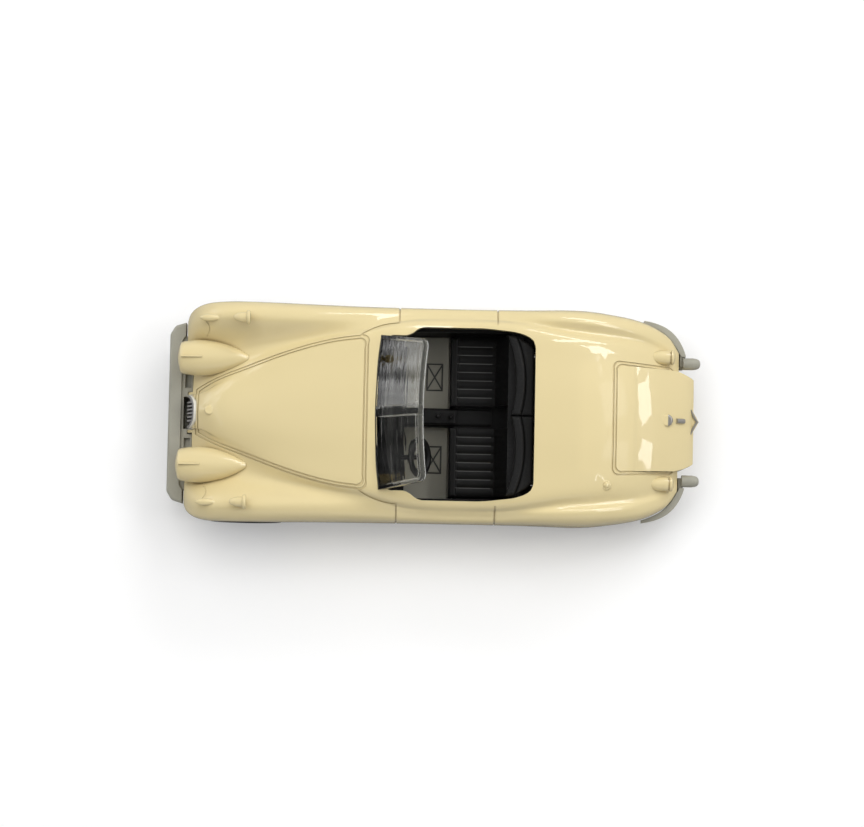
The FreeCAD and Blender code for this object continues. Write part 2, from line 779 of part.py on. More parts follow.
def moved(shape, x, y, z):
    copy = shape.copy()
    copy.translate(Vector(x, y, z))
    return copy


def grille(outer):
    """Oval surround with upright slats on a backing, following the slope of the nose."""
    front = moved(outer, grille_proud, 0, 0.1)
    back = moved(outer, -grille_depth, 0, -0.15)
    inner = moved(outer, -grille_depth - grille_back, 0, -0.3)
    bar = grille_oval(0)
    opening = grille_oval(-grille_rim)
    gap = nose_gap()
    rim = bar.cut(opening).common(front).cut([inner, gap[0]])
    backing = bar.common(back).cut(inner)
    slats = []
    for i in range(slat_count):
        y = (i - (slat_count - 1) / 2) * slat_pitch
        slat = box(nose_x - 6, nose_x + 2, y - slat_width / 2, y + slat_width / 2, 0, 20)
        slats.append(slat.common(grille_oval(-grille_rim / 2)).common(outer).cut([inner, gap[0]]))
    return rim.fuse([backing] + slats)


def body_shell(outer):
    """The painted casting, with its lamps and fittings cast on and a hollow underside."""
    fittings = []
    for fitting in (headlamp(), sidelight(outer), wing_mirror(outer), tail_lamp(outer)):
        fittings += mirrored(fitting)
    fittings.append(dome(badge_x, 0, top_at(outer, badge_x, 0), badge_radius, 0.3))
    filler_top = top_at(outer, filler_x, filler_y)
    fittings.append(dome(filler_x, filler_y, filler_top, filler_radius * 1.5, 0.15))
    fittings.append(dome(filler_x, filler_y, filler_top, filler_radius, 0.45))
    lid = boot_lid()
    fittings += [lid] + boot_trim(lid)
    body = outer.cut(grooves() + nose_gap()).fuse(fittings)
    inside = hull(wall, hollow=True)
    cockpit = plan_prism(cockpit_outline(), sill_z + 2, 40, corner_round)
    arches = []
    for x, face_y, reach in (
        (front_axle_x, front_wheel_face_y, 8.0), (rear_axle_x, rear_wheel_face_y, well_gap)
    ):
        arches += mirrored(Part.makeCylinder(
            wheel_radius + arch_gap, wheel_width + well_gap + reach,
            Vector(x, face_y - wheel_width - well_gap, wheel_radius), Y,
        ))
    body = body.cut([inside, cockpit, grille_oval(grille_fit)] + arches)
    posts = []
    head_z = base_low_z + rivet_fit / 2
    for x in rivet_xs:
        posts.append(Part.makeCylinder(
            post_radius, top_at(outer, x, 0) - wall / 2 - base_top_z, Vector(x, 0, base_top_z), Z
        ))
        posts.append(Part.makeCylinder(
            rivet_radius, base_top_z - head_z, Vector(x, 0, head_z), Z
        ))
        head = Part.makeCylinder(rivet_head_radius, rivet_head_height, Vector(x, 0, head_z), Z)
        low = min(head.Edges, key=lambda e: e.CenterOfMass.z)
        posts.append(head.makeFillet(rivet_head_height * 0.8, [low]))
    return body.fuse(posts)


def base_half_width(x):
    return lines["width"](x) - sill_tuck - wall - base_fit


def floor_plate():
    """The flat of the base, just inside the body's sills."""
    steps = 12
    side = []
    for i in range(steps + 1):
        x = base_front_x + (base_rear_x - base_front_x) * i / steps
        side.append(Vector(x, base_half_width(x), base_low_z))
    other = [Vector(p.x, -p.y, p.z) for p in reversed(side)]
    left = Part.BSplineCurve()
    left.interpolate(side)
    right = Part.BSplineCurve()
    right.interpolate(other)
    face = Part.Face(Part.Wire([
        left.toShape(), Part.makeLine(side[-1], other[0]), right.toShape(),
        Part.makeLine(other[-1], side[0]),
    ]))
    return face.extrude(Z * (base_top_z - base_low_z))


def front_bumper():
    """A full-width bar that wraps the wings' corners, on a flange that passes under the nose."""
    wide = bumper_half_width
    close_x = nose_x + bumper_gap
    bar = plan_prism(both_sides([
        (bumper_face_x, wide - 1.7), (bumper_face_x - 0.75, wide - 0.45), (close_x, wide),
        (close_x, wide - 1.9), (bumper_back_x, wide - 2.6),
    ]), bumper_low_z, bumper_top_z)
    uprights = [e for e in bar.Edges if e.BoundBox.ZLength > 1 and e.BoundBox.XMin > bumper_back_x + 0.1]
    bar = bar.makeFillet(bumper_corner, uprights)
    rims = [e for e in bar.Edges if e.BoundBox.ZLength < 1e-6 and e.BoundBox.XMin > bumper_back_x + 0.1]
    bar = bar.makeFillet(bumper_edge, rims)
    half = shelf_half_width
    flange = box(base_front_x - 1, bumper_back_x + 0.8, -half, half, base_low_z, base_top_z)
    near_x = nose_x - 0.1
    apron = plan_prism(both_sides([
        (bumper_back_x + 0.5, half), (near_x, half), (near_x, headlamp_y + 2.0 - shelf_fit),
        (nose_x - 0.5 + shelf_fit, headlamp_y + 2.0 - shelf_fit),
        (nose_gap_x + shelf_fit, headlamp_y - shelf_fit), (nose_gap_x + shelf_fit, nose_gap_y + shelf_fit),
        (grille_front_x + shelf_fit, nose_gap_y + shelf_fit),
    ]), base_top_z - 0.5, apron_z)
    slot = box(
        grille_front_x, bumper_back_x - 0.35, -slot_half_width, slot_half_width, slot_floor_z, apron_z + 1
    )
    pocket = box(
        nose_gap_x + 0.35, bumper_back_x - 0.5, nose_gap_y + 0.7, nose_gap_y + 2.7,
        apron_z - pocket_depth, apron_z + 1,
    )
    return [flange.fuse(apron).cut([slot] + mirrored(pocket)), bar]


def rear_bumper():
    """A quarter bumper that wraps a tail corner, with a blunt overrider and its bracket."""
    start = tail_x + 5.2
    inner = []
    for x in (start, start - 1.7, start - 3.3, tail_x + 0.6):
        inner.append(Vector(x, lines["width"](x) + rear_bumper_gap, 0))
    inner.append(Vector(tail_x - rear_bumper_gap, overrider_y + 1.0, 0))
    thickness = ((0, 0.4), (-0.1, 0.7), (-0.3, 0.85), (-0.6, 0.7), (-0.65, 0))
    outer = [point + Vector(x, y, 0) for point, (x, y) in zip(inner, thickness)]
    curves = []
    for points in (outer, inner[::-1]):
        curve = Part.BSplineCurve()
        curve.interpolate(points)
        curves.append(curve.toShape())
    face = Part.Face(Part.Wire([
        curves[0], Part.makeLine(outer[-1], inner[-1]), curves[1], Part.makeLine(inner[0], outer[0]),
    ]))
    low = base_top_z + 0.9
    bar = moved(face.extrude(Z * (rear_bumper_top_z - low)), 0, 0, low)
    r = overrider_radius
    long = overrider_length
    y = overrider_y
    horn = spun(
        [(0, 0), (0, r), (long - 1.1, r), (long - 0.6, r * 0.92), (long - 0.25, r * 0.74),
         (long - 0.07, r * 0.45), (long, 0)],
        Vector(overrider_tip_x + long, y, overrider_z), X * -1,
    )
    tongue = box(base_rear_x - 2.7, base_rear_x + 1.0, y - 0.6, y + 1.6, base_low_z, base_top_z)
    riser = box(base_rear_x - 2.7, base_rear_x - 2.05, y - 0.4, y + 1.4, base_low_z, overrider_z)
    return bar.fuse([horn, tongue, riser])


def axle_lugs(x, face_y):
    """Upturned lugs that carry an axle, close inside its wheels."""
    y = face_y - wheel_width - lug_gap
    lug = box(
        x - lug_width / 2, x + lug_width / 2, y - lug_thickness, y, base_top_z - 0.1,
        wheel_radius + axle_radius + 0.8,
    )
    lug = lug.cut(Part.makeCylinder(
        axle_radius + axle_clearance, lug_thickness + 2, Vector(x, y - lug_thickness - 1, wheel_radius), Y
    ))
    return mirrored(lug)


def floor_mats():
    """Cutters for the mats on the floor: a frame with a diagonal cross, sunk into the pan."""
    low = floor_pan_z - mat_depth
    high = floor_pan_z + 1
    x0 = floor_pan_rear_x + 0.8
    x1 = x0 + mat_length
    mats = []
    y0 = mat_y - mat_width / 2
    y1 = mat_y + mat_width / 2
    frame = box(x0, x1, y0, y1, low, high).cut(
        box(x0 + mat_rib, x1 - mat_rib, y0 + mat_rib, y1 - mat_rib, low - 1, high + 1)
    )
    length = math.hypot(x1 - x0, y1 - y0)
    turn = math.degrees(math.atan2(y1 - y0, x1 - x0))
    cross = [frame]
    for sign in (1, -1):
        rib = box(-length / 2 + 0.2, length / 2 - 0.2, -mat_rib / 2, mat_rib / 2, low, high)
        rib.rotate(Vector(0, 0, 0), Z, sign * turn)
        rib.translate(Vector((x0 + x1) / 2, mat_y, 0))
        cross.append(rib)
    for piece in cross:
        mats += mirrored(piece)
    return mats


def base_plate():
    """Grey casting: floor, axle lugs and both bumpers in one piece."""
    plate = floor_plate()
    wells = []
    for x, face_y in ((front_axle_x, front_wheel_face_y), (rear_axle_x, rear_wheel_face_y)):
        wells += mirrored(box(
            x - wheel_radius - well_gap, x + wheel_radius + well_gap,
            face_y - wheel_width - well_gap * 0.7, 20, 0, 20,
        ))
    plate = plate.cut(wells)
    half = tub_half_width - tub_side - 0.15
    pan = box(floor_pan_rear_x, floor_pan_front_x, -half, half, base_top_z - 0.1, floor_pan_z)
    pieces = [pan] + front_bumper() + mirrored(rear_bumper())
    pieces += axle_lugs(front_axle_x, front_wheel_face_y) + axle_lugs(rear_axle_x, rear_wheel_face_y)
    plate = plate.fuse(pieces)
    holes = floor_mats()
    for x in rivet_xs:
        holes.append(Part.makeCylinder(rivet_radius + 0.03, 10, Vector(x, 0, 0), Z))
        holes.append(Part.makeCylinder(
            rivet_head_radius + rivet_fit, rivet_head_height + rivet_fit, Vector(x, 0, base_low_z), Z
        ))
    return plate.cut(holes)


def axle(x, face_y):
    """A steel rod with a head crimped at each end."""
    end = face_y - axle_head_inset
    rod = Part.makeCylinder(axle_radius, 2 * end, Vector(x, -end, wheel_radius), Y)
    heads = mirrored(Part.makeCylinder(
        axle_head_radius, axle_head_thickness, Vector(x, end - axle_head_thickness, wheel_radius), Y
    ))
    return rod.fuse(heads)


def hub():
    """A dished wheel centre. It is drawn at the origin, with its outer face towards +Y."""
    bore = axle_radius + axle_clearance
    boss = wheel_width - axle_head_inset - axle_head_thickness - axle_clearance
    web = wheel_width * 0.45
    r = rim_radius
    profile = [
        (0.1, bore), (boss, bore), (boss, 1.15), (web + 0.9, 1.35), (web + 0.75, 2.1), (web + 1.0, 2.7),
        (wheel_width - 0.35, r - 0.35), (wheel_width - 0.2, r - 0.1), (wheel_width - 0.35, r),
        (0.35, r), (0.35, r - 0.45), (web, r - 0.7), (web - 0.1, 1.35), (0.1, 1.2),
    ]
    return spun(profile, Vector(0, -wheel_width, 0), Y)


def tyre():
    """A plain tyre, drawn as the hub is."""
    ring = Part.makeCylinder(wheel_radius, wheel_width, Vector(0, -wheel_width, 0), Y)
    ring = ring.makeFillet(tyre_shoulder, [e for e in ring.Edges if isinstance(e.Curve, Part.Circle)])
    return ring.cut(Part.makeCylinder(
        rim_radius + tyre_fit, wheel_width + 2, Vector(0, -wheel_width - 1, 0), Y
    ))


def screen_frame():
    """Base point, slope and outward normal of the windscreen."""
    base = Vector(screen_base_x, 0, screen_base_z)
    slope = Vector(screen_top_x, 0, screen_top_z) - base
    length = slope.Length
    slope.normalize()
    normal = Y.cross(slope)
    return base, slope, normal, length


def screen_sheet(front, back, low):
    """A bowed sheet along the windscreen's slope, between two distances along its normal."""
    base, slope, normal, length = screen_frame()
    half = screen_half_width + 0.5

    def bowed(offset):
        start = base + slope * low
        return Part.Arc(
            start + Y * half + normal * (offset - screen_bow), start + normal * offset,
            start - Y * half + normal * (offset - screen_bow),
        ).toShape()

    outer = bowed(front)
    inner = bowed(back)
    sides = [
        Part.makeLine(outer.Vertexes[i].Point, inner.Vertexes[i].Point) for i in (0, 1)
    ]
    face = Part.Face(Part.Wire(Part.__sortEdges__([outer, sides[0], inner, sides[1]])))
    return face.extrude(slope * (length - low + 1))


def screen_outline(margin, low, y0, y1):
    """The screen's outline, square at the foot and rounded at its top corners, as a bar along its normal."""
    base, slope, normal, length = screen_frame()
    top = length - margin

    def at(y, s):
        return base + Y * (y * (1 - screen_taper * s / length)) + slope * s - normal * 5

    face = polygon_face([at(y0, low), at(y1, low), at(y1, top), at(y0, top)])
    bar = face.extrude(normal * 10)
    corners = []
    for e in bar.Edges:
        centre = e.CenterOfMass - base
        outboard = abs(centre.y) > screen_half_width / 2
        if outboard and centre.dot(slope) > top - 1e-6 and abs(e.Length - 10) < 1e-6:
            corners.append(e)
    return bar.makeFillet(screen_corner - margin, corners)


def windscreen(outer):
    """A thick clear moulding: two panes, a raised rim and a post between them."""
    low = -3.0
    half = screen_half_width
    body = screen_sheet(0, -screen_thickness, low).common(screen_outline(0, low, -half, half))
    pane_edge = screen_post_width / 2
    panes = []
    for y0, y1 in ((pane_edge, half - screen_rim), (screen_rim - half, -pane_edge)):
        outline = screen_outline(screen_rim, screen_rim, y0, y1)
        front = screen_sheet(1, -screen_pane_depth, low).common(outline)
        back = screen_sheet(screen_pane_depth - screen_thickness, -screen_thickness - 1, low)
        panes += [front, back.common(outline)]
    body = body.cut(panes)
    return body.cut(moved(outer, 0, 0, screen_seat))


def pleated(y0, depth_of, wide, count, rise):
    """Points and crests of a row of pleats from y0: arcs of one pitch each."""
    arcs = []
    for i in range(count):
        a = y0 + i * wide
        arcs.append(Part.Arc(depth_of(a, 0), depth_of(a + wide / 2, rise), depth_of(a + wide, 0)).toShape())
    return arcs


def seat():
    """A pleated cushion with a roll along its front, and a pleated back rest behind it."""
    y0 = seat_inner_y
    y1 = y0 + pleats_per_seat * pleat_pitch
    back_low = cushion_z - 0.8

    def on_cushion(y, rise):
        return Vector(cushion_rear_x - 0.5, y, cushion_z + rise)

    top = pleated(y0, on_cushion, pleat_pitch, pleats_per_seat, pleat_rise)
    low = [Vector(cushion_rear_x - 0.5, y, tub_low_z) for y in (y0, y1)]
    cushion = Part.Face(Part.Wire(top + [
        Part.makeLine(on_cushion(y1, 0), low[1]), Part.makeLine(low[1], low[0]),
        Part.makeLine(low[0], on_cushion(y0, 0)),
    ])).extrude(X * (cushion_front_x - bolster_depth * 0.5 - cushion_rear_x + 0.5))
    bolster = box(
        cushion_front_x - bolster_depth, cushion_front_x, y0 - 0.1, y1 + 0.1, tub_low_z, cushion_z + 0.45
    )
    crown = [e for e in bolster.Edges if abs(e.CenterOfMass.z - cushion_z - 0.45) < 1e-6]
    bolster = bolster.makeFillet(0.42, crown)

    def on_back(y, rise):
        return Vector(cushion_rear_x + rise, y, back_low)

    front = pleated(y0, on_back, pleat_pitch, pleats_per_seat, pleat_rise * 0.4)
    middle = (y0 + y1) / 2
    rear = Part.Arc(
        Vector(cushion_rear_x - seat_back_depth * 0.9, y1, back_low),
        Vector(cushion_rear_x - seat_back_depth, middle, back_low),
        Vector(cushion_rear_x - seat_back_depth * 0.9, y0, back_low),
    ).toShape()
    ends = [
        Part.makeLine(on_back(y1, 0), rear.Vertexes[0].Point),
        Part.makeLine(rear.Vertexes[-1].Point, on_back(y0, 0)),
    ]
    lean = Vector(-seat_back_lean, 0, seat_back_z - back_low)
    rest = Part.Face(Part.Wire(front + [ends[0], rear, ends[1]])).extrude(lean)
    return [cushion, bolster, rest]


def hood_folds():
    """The folded hood behind the seats: two soft folds on each side, which meet in the middle."""
    rear = cockpit_rear_x + hood_fit
    lines_of_folds = []
    for x, out in ((hood_front_x, 11.4), (hood_fold_x, 11.2)):
        lines_of_folds.append([
            Vector(x, hood_fit / 2, ledge_z), Vector(x - hood_bulge, out / 2, ledge_z),
            Vector(x + hood_bulge * 1.2, out, ledge_z),
        ])
    back = [
        Vector(rear, hood_fit / 2, ledge_z), Vector(rear, cockpit_rear_half_width - 0.8, ledge_z),
        Vector(rear + 0.7, cockpit_rear_half_width, ledge_z),
    ]
    front, middle = lines_of_folds
    folds = []
    first = [
        Part.Arc(*front).toShape(), Part.makeLine(front[2], middle[2]), Part.Arc(*middle).toShape(),
        Part.makeLine(middle[0], front[0]),
    ]
    gap = X * -0.02
    fold = [point + gap for point in middle]
    second = [
        Part.Arc(*fold).toShape(), Part.makeLine(fold[2], back[2]), Part.makeLine(back[2], back[1]),
        Part.makeLine(back[1], back[0]), Part.makeLine(back[0], fold[0]),
    ]
    for edges, high in ((first, hood_z), (second, hood_z - 0.25)):
        face = Part.Face(Part.Wire(Part.__sortEdges__(edges)))
        block = face.extrude(Z * (high - ledge_z))
        rims = [e for e in block.Edges if e.BoundBox.ZMin > high - 1e-4]
        folds.append(block.makeFillet((high - ledge_z) * 0.36, rims))
    return folds


def dashboard():
    """The fascia, sloping forwards at the top, with a dial on each side."""
    half = cockpit_front_half_width - 1.4
    lean = 1.5
    profile = [
        Vector(dash_rear_x, -half, dash_low_z), Vector(cockpit_front_x, -half, dash_low_z),
        Vector(cockpit_front_x, -half, dash_top_z), Vector(dash_rear_x + lean + 0.3, -half, dash_top_z),
        Vector(dash_rear_x + lean, -half, dash_top_z - 0.3),
        Vector(dash_rear_x, -half, dash_low_z + 0.4),
    ]
    corner_x = cockpit_front_x - cockpit_front_bow * (half / cockpit_front_half_width) ** 2
    edge = [(x - dash_fit, y) for x, y in cockpit_front(half) + [(corner_x, half)]]
    plan = plan_prism(both_sides(edge + [(dash_rear_x - 1, half)]), 0, 40)
    fascia = polygon_face(profile).extrude(Y * 2 * half).common(plan)
    slope = Vector(lean, 0, dash_top_z - 0.7 - dash_low_z)
    slope.normalize()
    outward = slope.cross(Y)
    if outward.x > 0:
        outward = outward * -1
    dials = []
    for y in (8.6, -8.6):
        high = dash_low_z + 0.4 + (dash_top_z - 0.7 - dash_low_z) * 0.72
        spot = Vector(dash_rear_x + lean * 0.72, y, high)
        dials.append(Part.makeCylinder(0.75, 0.7, spot - outward * 0.4, outward).cut(
            Part.makeCylinder(0.5, 0.4, spot + outward * 0.15, outward)
        ))
    return [fascia] + dials


def steering_pose():
    centre = Vector(steering_x, steering_y, steering_z)
    lean = math.radians(steering_lean)
    return centre, Vector(-math.cos(lean), 0, math.sin(lean))


def steering_column(radius, length):
    centre, towards_driver = steering_pose()
    return Part.makeCylinder(radius, length, centre, towards_driver * -1)


def steering_wheel():
    """A thin rim with three spokes, on a plain column."""
    centre, axis = steering_pose()
    rim = Part.makeTorus(steering_radius, steering_rim_radius, centre, axis)
    boss = Part.makeCylinder(0.55, 0.5, centre - axis * 0.3, axis)
    pieces = [boss, steering_column(column_radius, column_length)]
    upright = Y.cross(axis)
    for angle in (0, 120, 240):
        out = Rotation(axis, angle).multVec(upright)
        spoke = Part.makeCylinder(0.17, steering_radius - 0.1, centre, out)
        pieces.append(spoke)
    return rim.fuse(pieces)


def interior():
    """Black moulding: seats, tunnel, side trims, fascia and the folded hood behind the seats."""
    seat_outer_y = seat_inner_y + pleats_per_seat * pleat_pitch
    inner_side = tub_half_width - tub_side
    rear = cockpit_rear_x + 0.3
    pieces = []
    for piece in seat():
        pieces += mirrored(piece)
    pieces += mirrored(box(rear, side_front_x, inner_side, tub_half_width, tub_low_z, tub_side_z))
    pieces += mirrored(box(rear, hood_front_x, ledge_reach, inner_side + 0.1, tub_side_z - 1.0, tub_side_z))
    pieces += mirrored(box(rear, hood_front_x, ledge_reach, ledge_reach + 0.8, tub_side_z - 0.1, shelf_z + 0.1))
    under = box(rear, cushion_front_x - 0.6, -inner_side - 0.1, inner_side + 0.1, tub_low_z, cushion_z - 1.2)
    pieces.append(under)
    tunnel = box(
        cushion_rear_x, dash_rear_x + 1, -tunnel_half_width, tunnel_half_width, floor_pan_z + 0.05, tunnel_z
    )
    tunnel = tunnel.makeFillet(0.5, [
        e for e in tunnel.Edges if abs(e.CenterOfMass.z - tunnel_z) < 1e-6 and abs(e.CenterOfMass.y) > 1
    ])
    pieces.append(tunnel)
    pieces.append(box(dash_rear_x + 0.2, dash_rear_x + 1.4, -tunnel_half_width, tunnel_half_width,
                      floor_pan_z + 0.05, dash_low_z + 0.5))
    console_z = tunnel_z + console_rise
    console = box(console_rear_x, console_front_x, 0.25 - tunnel_half_width, tunnel_half_width - 0.25,
                  tunnel_z - 0.1, console_z)
    pieces.append(console.makeFillet(0.3, [
        e for e in console.Edges if abs(e.BoundBox.ZMin - console_z) < 1e-6
    ]))
    for x, tall, knob_radius in ((gear_lever_x, 1.5, 0.42), (brake_lever_x, 0.5, 0.34)):
        pieces.append(Part.makeCylinder(0.2, tall, Vector(x, 0, console_z - 0.1), Z))
        pieces.append(Part.makeSphere(knob_radius, Vector(x, 0, console_z + tall)))
    rear = cockpit_rear_x + hood_fit
    ledge_front = hood_front_x + 0.3
    ledge_half = rear_wheel_face_y - wheel_width - well_gap - 0.1
    pieces.append(box(rear, ledge_front, -ledge_half, ledge_half, tub_low_z + 1, ledge_z + 0.05))
    pieces.append(plan_prism(both_sides([
        (rear, cockpit_rear_half_width - 0.8), (rear + 0.7, cockpit_rear_half_width),
        (rear + 2.6, inner_side - 0.6), (hood_front_x + 0.4, inner_side - 0.5),
    ]), shelf_z, ledge_z + 0.05))
    for fold in hood_folds():
        pieces += mirrored(fold)
    pieces += dashboard()
    ties = box(
        dash_rear_x + 0.3, side_front_x - 0.3, cockpit_front_half_width - 1.6, tub_half_width - 0.1,
        dash_low_z - 0.8, dash_low_z + 0.05,
    )
    pieces += mirrored(ties)
    wells = mirrored(Part.makeCylinder(
        wheel_radius + well_gap, 20,
        Vector(rear_axle_x, rear_wheel_face_y - wheel_width - well_gap, wheel_radius), Y,
    ))
    whole = pieces[0].fuse(pieces[1:])
    return whole.cut(wells + [steering_column(column_radius + column_fit, column_length + column_fit)])


def build():
    outer = hull()
    parts = {
        "body_shell": body_shell(outer),
        "base_plate": base_plate(),
        "grille": grille(outer),
        "interior": interior(),
        "steering_wheel": steering_wheel(),
        "windscreen": windscreen(outer),
    }
    for end, x, face_y in (
        ("front", front_axle_x, front_wheel_face_y), ("rear", rear_axle_x, rear_wheel_face_y)
    ):
        parts[f"axle_{end}"] = axle(x, face_y)
        for name, shape in (("hub", hub()), ("tyre", tyre())):
            left = moved(shape, x, face_y, wheel_radius)
            parts[f"{name}_{end}_left"] = left
            parts[f"{name}_{end}_right"] = left.mirror(Vector(0, 0, 0), Y)
    return parts


def main():
    os.makedirs("parts", exist_ok=True)
    for name, shape in build().items():
        shape = shape.removeSplitter()
        print(name, shape.isValid(), len(shape.Solids), "solid", round(shape.Volume, 2), "mm3")
        shape.exportStep(f"parts/{name}.step")


main()
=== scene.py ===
import json
import math

import bmesh
import bpy
from mathutils import Matrix, Vector


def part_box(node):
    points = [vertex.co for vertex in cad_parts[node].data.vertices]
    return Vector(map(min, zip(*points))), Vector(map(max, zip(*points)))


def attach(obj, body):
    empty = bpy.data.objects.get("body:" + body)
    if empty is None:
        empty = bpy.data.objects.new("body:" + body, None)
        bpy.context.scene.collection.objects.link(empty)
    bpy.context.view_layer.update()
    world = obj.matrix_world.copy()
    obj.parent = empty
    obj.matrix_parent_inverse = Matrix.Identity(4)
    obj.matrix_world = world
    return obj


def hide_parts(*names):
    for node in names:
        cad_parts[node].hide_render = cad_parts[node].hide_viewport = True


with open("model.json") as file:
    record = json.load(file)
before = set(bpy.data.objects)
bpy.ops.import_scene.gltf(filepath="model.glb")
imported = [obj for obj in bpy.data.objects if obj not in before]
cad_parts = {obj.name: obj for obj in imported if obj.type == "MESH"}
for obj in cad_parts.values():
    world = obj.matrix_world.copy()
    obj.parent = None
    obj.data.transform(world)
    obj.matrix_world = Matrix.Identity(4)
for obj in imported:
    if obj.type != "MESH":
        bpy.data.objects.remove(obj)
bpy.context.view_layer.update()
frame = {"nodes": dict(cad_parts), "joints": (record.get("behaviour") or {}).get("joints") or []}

# A die-cast toy roadster on a white table. +X is the car's front and +Y its left.
# The scene is in metres. The pieces' dictionaries are in millimetres and the studio's in metres.

nodes = frame["nodes"]
wheelCentres = {joint["child"]: Vector(joint["pos_m"]) for joint in frame["joints"]}
mm = 0.001
print("frame loaded:", len(nodes), "nodes")


# Shader maths

class Term:
    # a node's output that takes part in a sum
    def __init__(self, finish, socket):
        self.finish = finish
        self.socket = socket

    def math(self, operation, first, second=0.0):
        return self.finish.add("Math", {"operation": operation}, {0: first, 1: second})

    def __add__(self, other):
        return self.math("ADD", self, other)

    def __radd__(self, other):
        return self.math("ADD", other, self)

    def __sub__(self, other):
        return self.math("SUBTRACT", self, other)

    def __rsub__(self, other):
        return self.math("SUBTRACT", other, self)

    def __mul__(self, other):
        return self.math("MULTIPLY", self, other)

    def __rmul__(self, other):
        return self.math("MULTIPLY", other, self)

    def __truediv__(self, other):
        return self.math("DIVIDE", self, other)

    def __gt__(self, other):
        return self.math("GREATER_THAN", self, other)

    def __lt__(self, other):
        return self.math("LESS_THAN", self, other)

    def __abs__(self):
        return self.math("ABSOLUTE", self)


# what all finishes share
edges = {
    "bevelSamples": 4,
    "turned": (0.01, 0.18),  # how far the normal turns at an edge: just, and fully
    "skySamples": 6,
}


class Finish:
    # the nodes of one material, or of the world
    def __init__(self, name, owner=None):
        self.material = owner or bpy.data.materials.new(name)
        self.material.use_nodes = True
        self.tree = self.material.node_tree
        self.tree.nodes.clear()

    def add(self, kind, settings=None, values=None, out=0):
        # adds a node: its settings first, then numbers and links for its sockets
        node = self.tree.nodes.new("ShaderNode" + kind)
        for name, value in (settings or {}).items():
            setattr(node, name, value)
        for name, value in (values or {}).items():
            socket = node.inputs[name]
            if isinstance(value, Term):
                self.tree.links.new(value.socket, socket)
            elif hasattr(value, "__len__") and socket.type == "RGBA":
                socket.default_value = (*value, 1.0)
            else:
                socket.default_value = value
        return Term(self, node.outputs[out]) if node.outputs else None

    def place(self):
        return self.add("TexCoord", out="Object")

    def axes(self):
        # the surface's own x, y and z, in millimetres
        return [part / mm for part in self.parts(self.place())]

    def parts(self, vector):
        apart = self.add("SeparateXYZ", values={0: vector})
        return [Term(self, apart.socket.node.outputs[i]) for i in range(3)]

    def noise(self, grain, detail=2.0):
        # clouds about as wide as grain, in millimetres
        return self.add("TexNoise", values={
            "Vector": self.place(), "Scale": 1 / (grain * mm), "Detail": detail,
        })

    def uneven(self, least, spread, grain):
        # a roughness that wanders over the surface
        return least + self.noise(grain) * spread

    def most(self, first, second):
        return self.add("Math", {"operation": "MAXIMUM"}, {0: first, 1: second})

    def rays(self):
        # 1 for what the camera sees, also through glass, and 1 for what gloss shows
        camera = self.add("LightPath", out="Is Camera Ray")
        outputs = camera.socket.node.outputs
        through = Term(self, outputs["Is Transmission Ray"])
        return self.most(camera, through), Term(self, outputs["Is Glossy Ray"])

    def fade(self, value, low, high):
        # 0 below low, 1 above high and smooth between
        return self.add(
            "MapRange", {"interpolation_type": "SMOOTHSTEP"},
            {"Value": value, "From Min": low, "From Max": high},
        )

    def between(self, value, low, high):
        # 1 between low and high
        return (value > low) * (value < high)

    def blend(self, share, first, second):
        return self.add(
            "Mix", {"data_type": "RGBA"}, {"Factor": share, 6: first, 7: second}, out=2
        )

    def rounded(self, radius):
        # the normal, with edges rounded by radius
        return self.add("Bevel", {"samples": edges["bevelSamples"]}, {"Radius": radius * mm})

    def tooth(self, radius):
        # how near an edge the surface is, and the rounded normal
        soft = self.rounded(radius)
        flat = self.add("NewGeometry", out="Normal")
        turn = self.add("VectorMath", {"operation": "DOT_PRODUCT"}, {0: soft, 1: flat}, out="Value")
        return self.fade(1 - turn, *edges["turned"]), soft

    def crevice(self, reach, low, high):
        # 1 in corners and grooves about as deep as reach, where more than high of the sky is hidden
        sky = self.add(
            "AmbientOcclusion", {"samples": edges["skySamples"]}, {"Distance": reach * mm}, out="AO"
        )
        return self.fade(1 - sky, low, high)

    def bump(self, height, depth, normal):
        # depth is the height's full range, in millimetres
        return self.add("Bump", {}, {"Height": height, "Distance": depth * mm, "Normal": normal})

    def done(self, values, overlay=None, share=None):
        # the main shader, and another that shows by share
        shader = self.add("BsdfPrincipled", {}, values)
        if overlay:
            second = self.add("BsdfPrincipled", {}, overlay)
            shader = self.add("MixShader", {}, {0: share, 1: shader, 2: second})
        self.add("OutputMaterial", {}, {"Surface": shader})
        return self.material


def shaded(colour, share):
    return tuple(part * share for part in colour)


def dress(name, material):
    # gives a CAD node its finish
    mesh = nodes[name].data
    mesh.materials.clear()
    mesh.materials.append(material)


# Body casting

